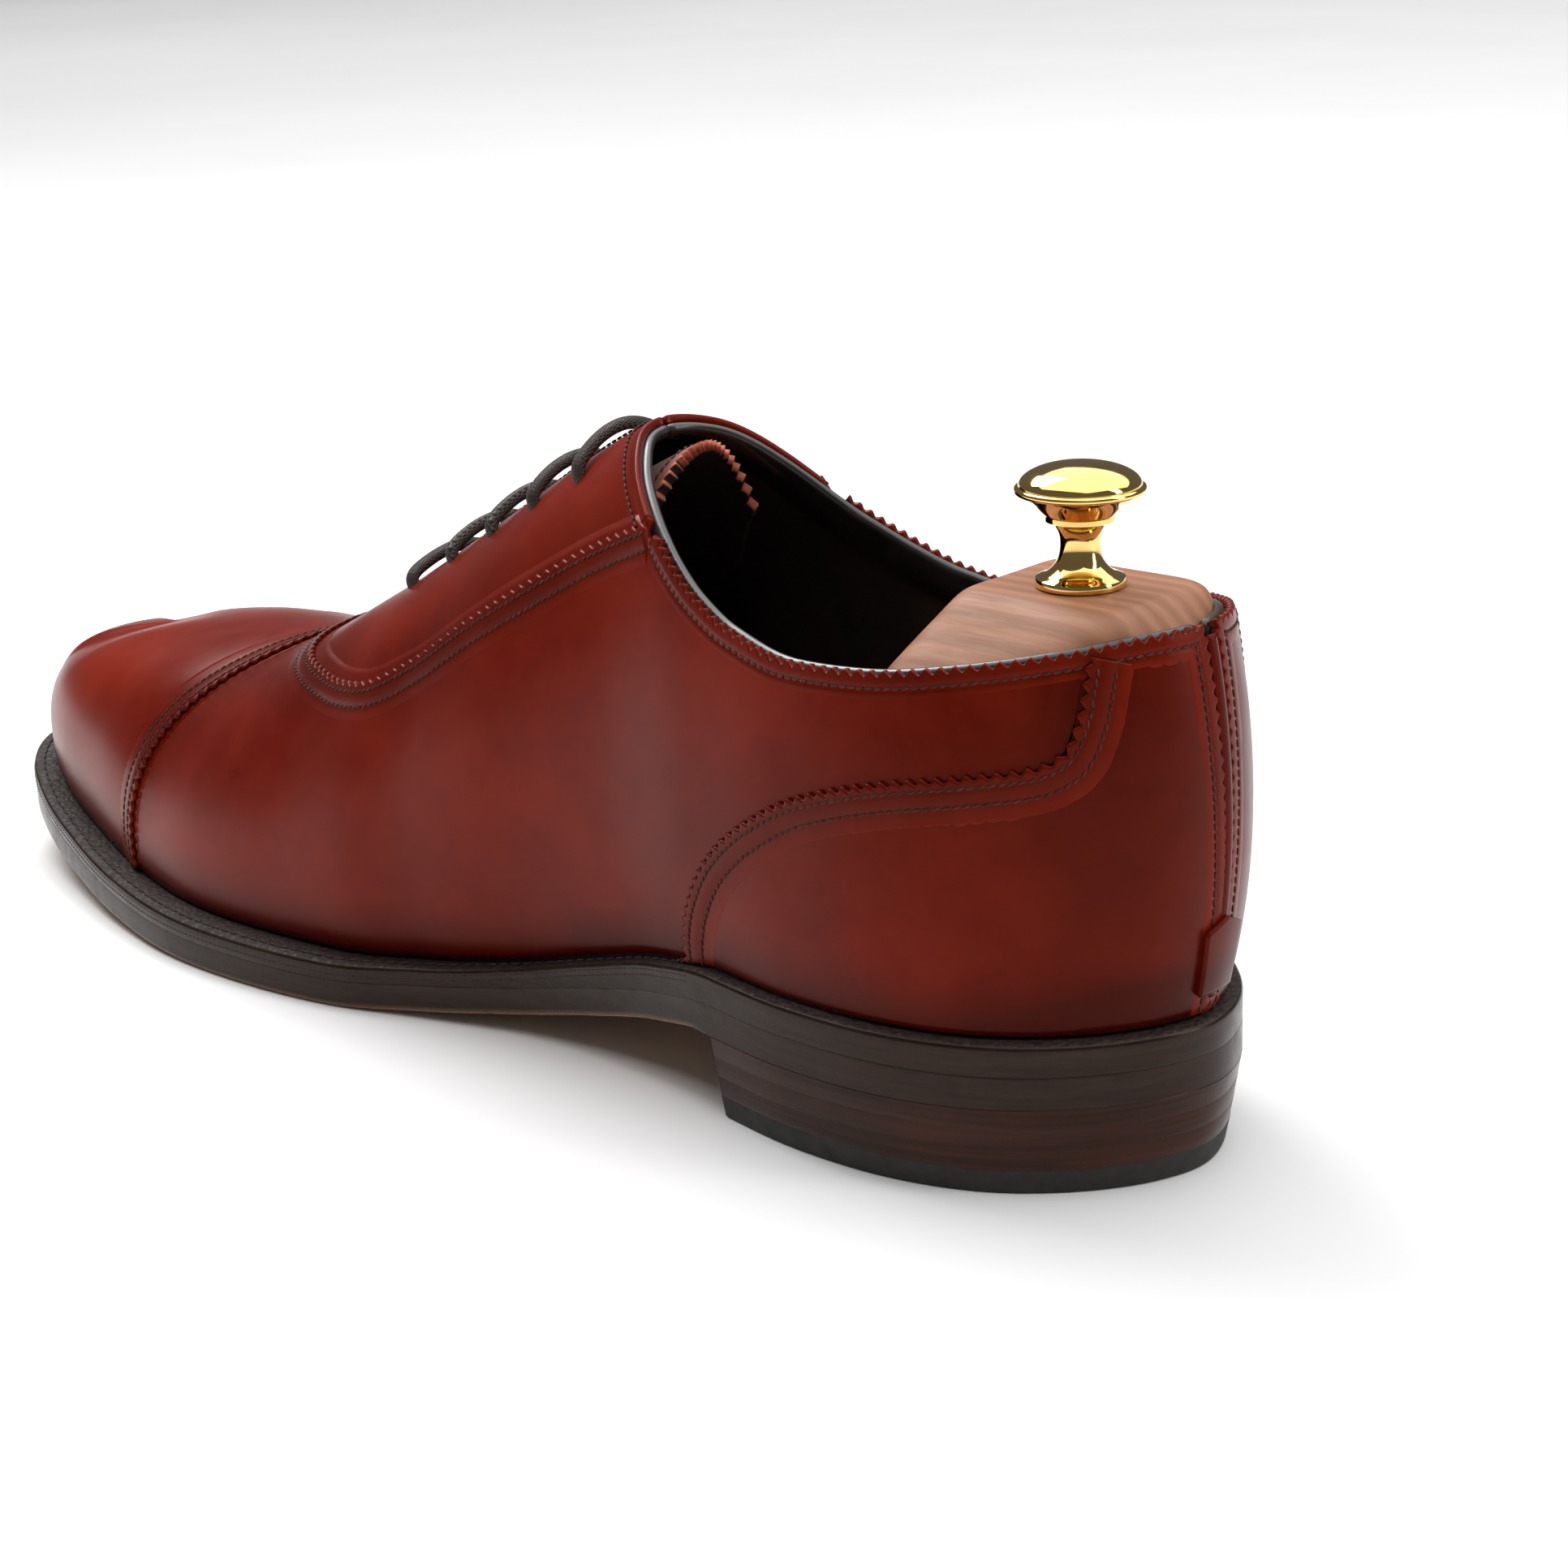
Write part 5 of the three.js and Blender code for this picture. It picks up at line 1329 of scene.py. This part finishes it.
def heel_block():
    """The tree's heel block: sections of the shoe's inside, cut back to its slopes and rounded."""
    centre = np.array([KNOB_X, 1.0])
    angle = np.linspace(-math.pi, math.pi, 240, endpoint=False)
    cos, sin = np.cos(angle), np.sin(angle)
    axis = unit(ROD_REAR - ROD_FRONT)
    travel = (axis * TREE_TRAVEL)[:2]
    shoulder = TREE_TOP - TREE_BEVEL
    rounding = 1.6  # radius of the top's edge
    round_z = TREE_TOP - rounding
    open_z = 80.0  # above it the topline is open, and the wall is taken at this height
    squareness = 9.0  # power that joins the flat sides with tight corners
    levels = np.concatenate([np.linspace(TREE_FLOOR, shoulder, 26)[:-1], np.linspace(shoulder, round_z, 14),
                             round_z + rounding * np.sin(np.linspace(0.2, 1, 7) * math.pi / 2)])
    rings = []
    for z in levels:
        drop = min(max((TREE_TOP - z) / TREE_BEVEL, 0), 1)
        low = min(max((shoulder - z) / 30, 0), 1)
        half = TREE_TOP_WIDTH / 2 + TREE_BEVEL_OUT * drop
        front = KNOB_X - stretch(TREE_FRONT_X) + 6 * drop + 7 * low
        rear = stretch(TREE_REAR_X) - KNOB_X + TREE_BEVEL_OUT * drop
        reach_x = np.where(cos < 0, front, rear) / np.maximum(np.abs(cos), 1e-3)
        reach_y = half / np.maximum(np.abs(sin), 1e-3)
        wall = np.minimum(cavity_radius(min(z, open_z), angle, centre),
                          cavity_radius(min(z, open_z), angle, centre - travel))
        radius = sum(side**-squareness for side in (reach_x, reach_y, wall)) ** (-1 / squareness)
        radius -= rounding - math.sqrt(max(rounding**2 - max(z - round_z, 0) ** 2, 0))
        around = centre + radius[:, None] * np.stack([cos, sin], 1)
        rings.append(np.column_stack([around, np.full_like(cos, z)]))
    block = loft("tree_heel_wood", np.array(rings), CEDAR, body="tree_heel", slot="cedar",
                 replaces=["tree_heel_block"])
    bore(block, ROD_REAR - axis * 30, ROD_REAR + axis * 14.3, ROD / 2 + 0.1)
    screw_top = np.array([KNOB_X, 0, TREE_TOP + 5])
    bore(block, screw_top - [0, 0, 27], screw_top, KNOB_SCREW / 2 + 0.1)
    soften(block, 40)


def bore(obj, start, end, radius):
    """Drills a round hole from start to end, in millimetres."""
    angle = np.linspace(0, 2 * math.pi, 48, endpoint=False)
    axis = unit(end - start)
    u = unit(np.cross(axis, [0.3, 1.0, 0.2]))
    v = np.cross(axis, u)
    ring = radius * (np.outer(np.cos(angle), u) + np.outer(np.sin(angle), v))
    drill = loft("drill", np.array([start + ring, end + ring]), CEDAR, body="tree_heel")
    modifier = obj.modifiers.new("bore", "BOOLEAN")
    modifier.object = drill
    modifier.operation = "DIFFERENCE"
    modifier.solver = "EXACT"
    shaped = bpy.data.meshes.new_from_object(obj.evaluated_get(bpy.context.evaluated_depsgraph_get()))
    obj.modifiers.clear()
    obj.data = shaped
    bpy.data.objects.remove(drill, do_unlink=True)


def knob():
    """Turned brass knob: flared foot, hollow neck, stepped cone and a low dome."""
    r = (KNOB_HIGH[0] - KNOB_LOW[0]) / 2
    h = KNOB_HIGH[2] - KNOB_LOW[2]
    foot = [(0.0, 0.0), (0.66, 0.0), (0.69, 0.015), (0.7, 0.045), (0.68, 0.075)]
    neck = spline([(a, b, 0) for a, b in ((0.66, 0.08), (0.5, 0.12), (0.37, 0.2), (0.31, 0.31), (0.32, 0.42),
                                          (0.4, 0.5), (0.5, 0.535))], 40)[0][:, :2]
    cone = [(0.53, 0.535), (0.53, 0.575), (0.56, 0.59)]
    angle = np.linspace(0, math.pi, 14)[1:-1]
    lip = [(0.945 + 0.055 * math.sin(a), 0.785 - 0.03 * math.cos(a)) for a in angle]
    dome_angle = np.linspace(0, math.pi / 2, 30)
    dome = [(0.935 * math.cos(a), 0.815 + 0.185 * math.sin(a)) for a in dome_angle]
    profile = np.array(foot + neck.tolist() + cone + [(0.93, 0.752)] + lip + dome)
    turn = np.linspace(0, 2 * math.pi, 96, endpoint=False)
    rings = np.stack([np.column_stack([KNOB_X + a * r * np.cos(turn), a * r * np.sin(turn),
                                       np.full_like(turn, KNOB_LOW[2] + b * h)]) for a, b in profile])
    soften(loft("tree_knob_brass", rings, BRASS, body="tree_heel", slot="brass", replaces=["tree_knob"]), 30)


def dress_frame():
    """Finishes for the pieces inside, which keep their CAD shapes."""
    finishes = {
        LINED: ["vamp_lining", "heel_sock"],
        BOARD: ["toe_puff", "heel_stiffener", "insole_rib", "insole", "seat_filler"],
        CORK: ["cork_filler"],
        STEEL: ["shank", "tree_rod", "tree_spring", "tree_tube", "knob_screw"],
        CEDAR: ["tree_toe_outer", "tree_toe_inner", "spreader_pin_1", "spreader_pin_2"],
        BRASS: [f"top_piece_nail_{k}" for k in range(1, 6)],
    }
    for material, nodes in finishes.items():
        for node in nodes:
            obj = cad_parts[node]
            obj.data.materials.clear()
            obj.data.materials.append(material)
            soften(obj, 30)


topline_work()
back_seam()
binding()
linings()
tongue()
lace()
sole()
heel()
heel_block()
knob()
dress_frame()


# ---- Stage ----
def camera():
    """The photograph's viewpoint, solved from points of the shoe that both show."""
    azimuth, elevation, roll = (math.radians(angle) for angle in (42.0, 17.896, -2.086))
    place = (0.28187, -0.36946, 0.20767)
    back = Vector((math.sin(azimuth) * math.cos(elevation), -math.cos(azimuth) * math.cos(elevation),
                   math.sin(elevation)))
    right = Vector((math.cos(azimuth), math.sin(azimuth), 0))
    up = back.cross(right)
    turned_right = right * math.cos(roll) + up * math.sin(roll)
    turned_up = up * math.cos(roll) - right * math.sin(roll)
    data = bpy.data.cameras.new("camera")
    data.sensor_width = 36
    data.lens = 70.06
    data.clip_start = 0.01
    obj = bpy.data.objects.new("camera", data)
    bpy.context.scene.collection.objects.link(obj)
    turn = Matrix((turned_right, turned_up, back)).transposed().to_4x4()
    obj.matrix_world = Matrix.Translation(place) @ turn
    bpy.context.scene.camera = obj


def floor():
    m = Shader("pale_floor", Specular_IOR_Level=0.2, Roughness=0.6)
    m.colour(m.ramp(m.noise(3), (0.3, 0.86), (0.7, 0.9)))
    mesh = bpy.data.meshes.new("floor")
    half = 12
    mesh.from_pydata([(-half, -half, 0), (half, -half, 0), (half, half, 0), (-half, half, 0)], [],
                     [(0, 1, 2, 3)])
    mesh.materials.append(m.material)
    obj = bpy.data.objects.new("floor", mesh)
    bpy.context.scene.collection.objects.link(obj)


def light(name, location, target, size, power):
    data = bpy.data.lights.new(name, "AREA")
    data.shape = "RECTANGLE"
    data.size, data.size_y = size
    data.energy = power
    obj = bpy.data.objects.new(name, data)
    bpy.context.scene.collection.objects.link(obj)
    obj.location = location
    obj.rotation_euler = (Vector(target) - Vector(location)).to_track_quat("-Z", "Y").to_euler()


def studio():
    light("ceiling_softbox", (-0.2, 0.8, 3.0), (-0.2, 0.4, 0.0), (6.0, 6.0), 205)
    light("key_softbox", (-0.75, 0.15, 0.9), (-0.15, 0.0, 0.05), (0.7, 0.5), 9)
    light("side_strip", (0.9, 0.35, 0.5), (0.0, 0.0, 0.04), (0.25, 0.8), 3)
    world = bpy.data.worlds.new("studio")
    world.use_nodes = True
    world.node_tree.nodes["Background"].inputs["Color"].default_value = (1, 1, 1, 1)
    world.node_tree.nodes["Background"].inputs["Strength"].default_value = 0.12
    bpy.context.scene.world = world
    bpy.context.scene.view_settings.view_transform = "Standard"


camera()
floor()
studio()
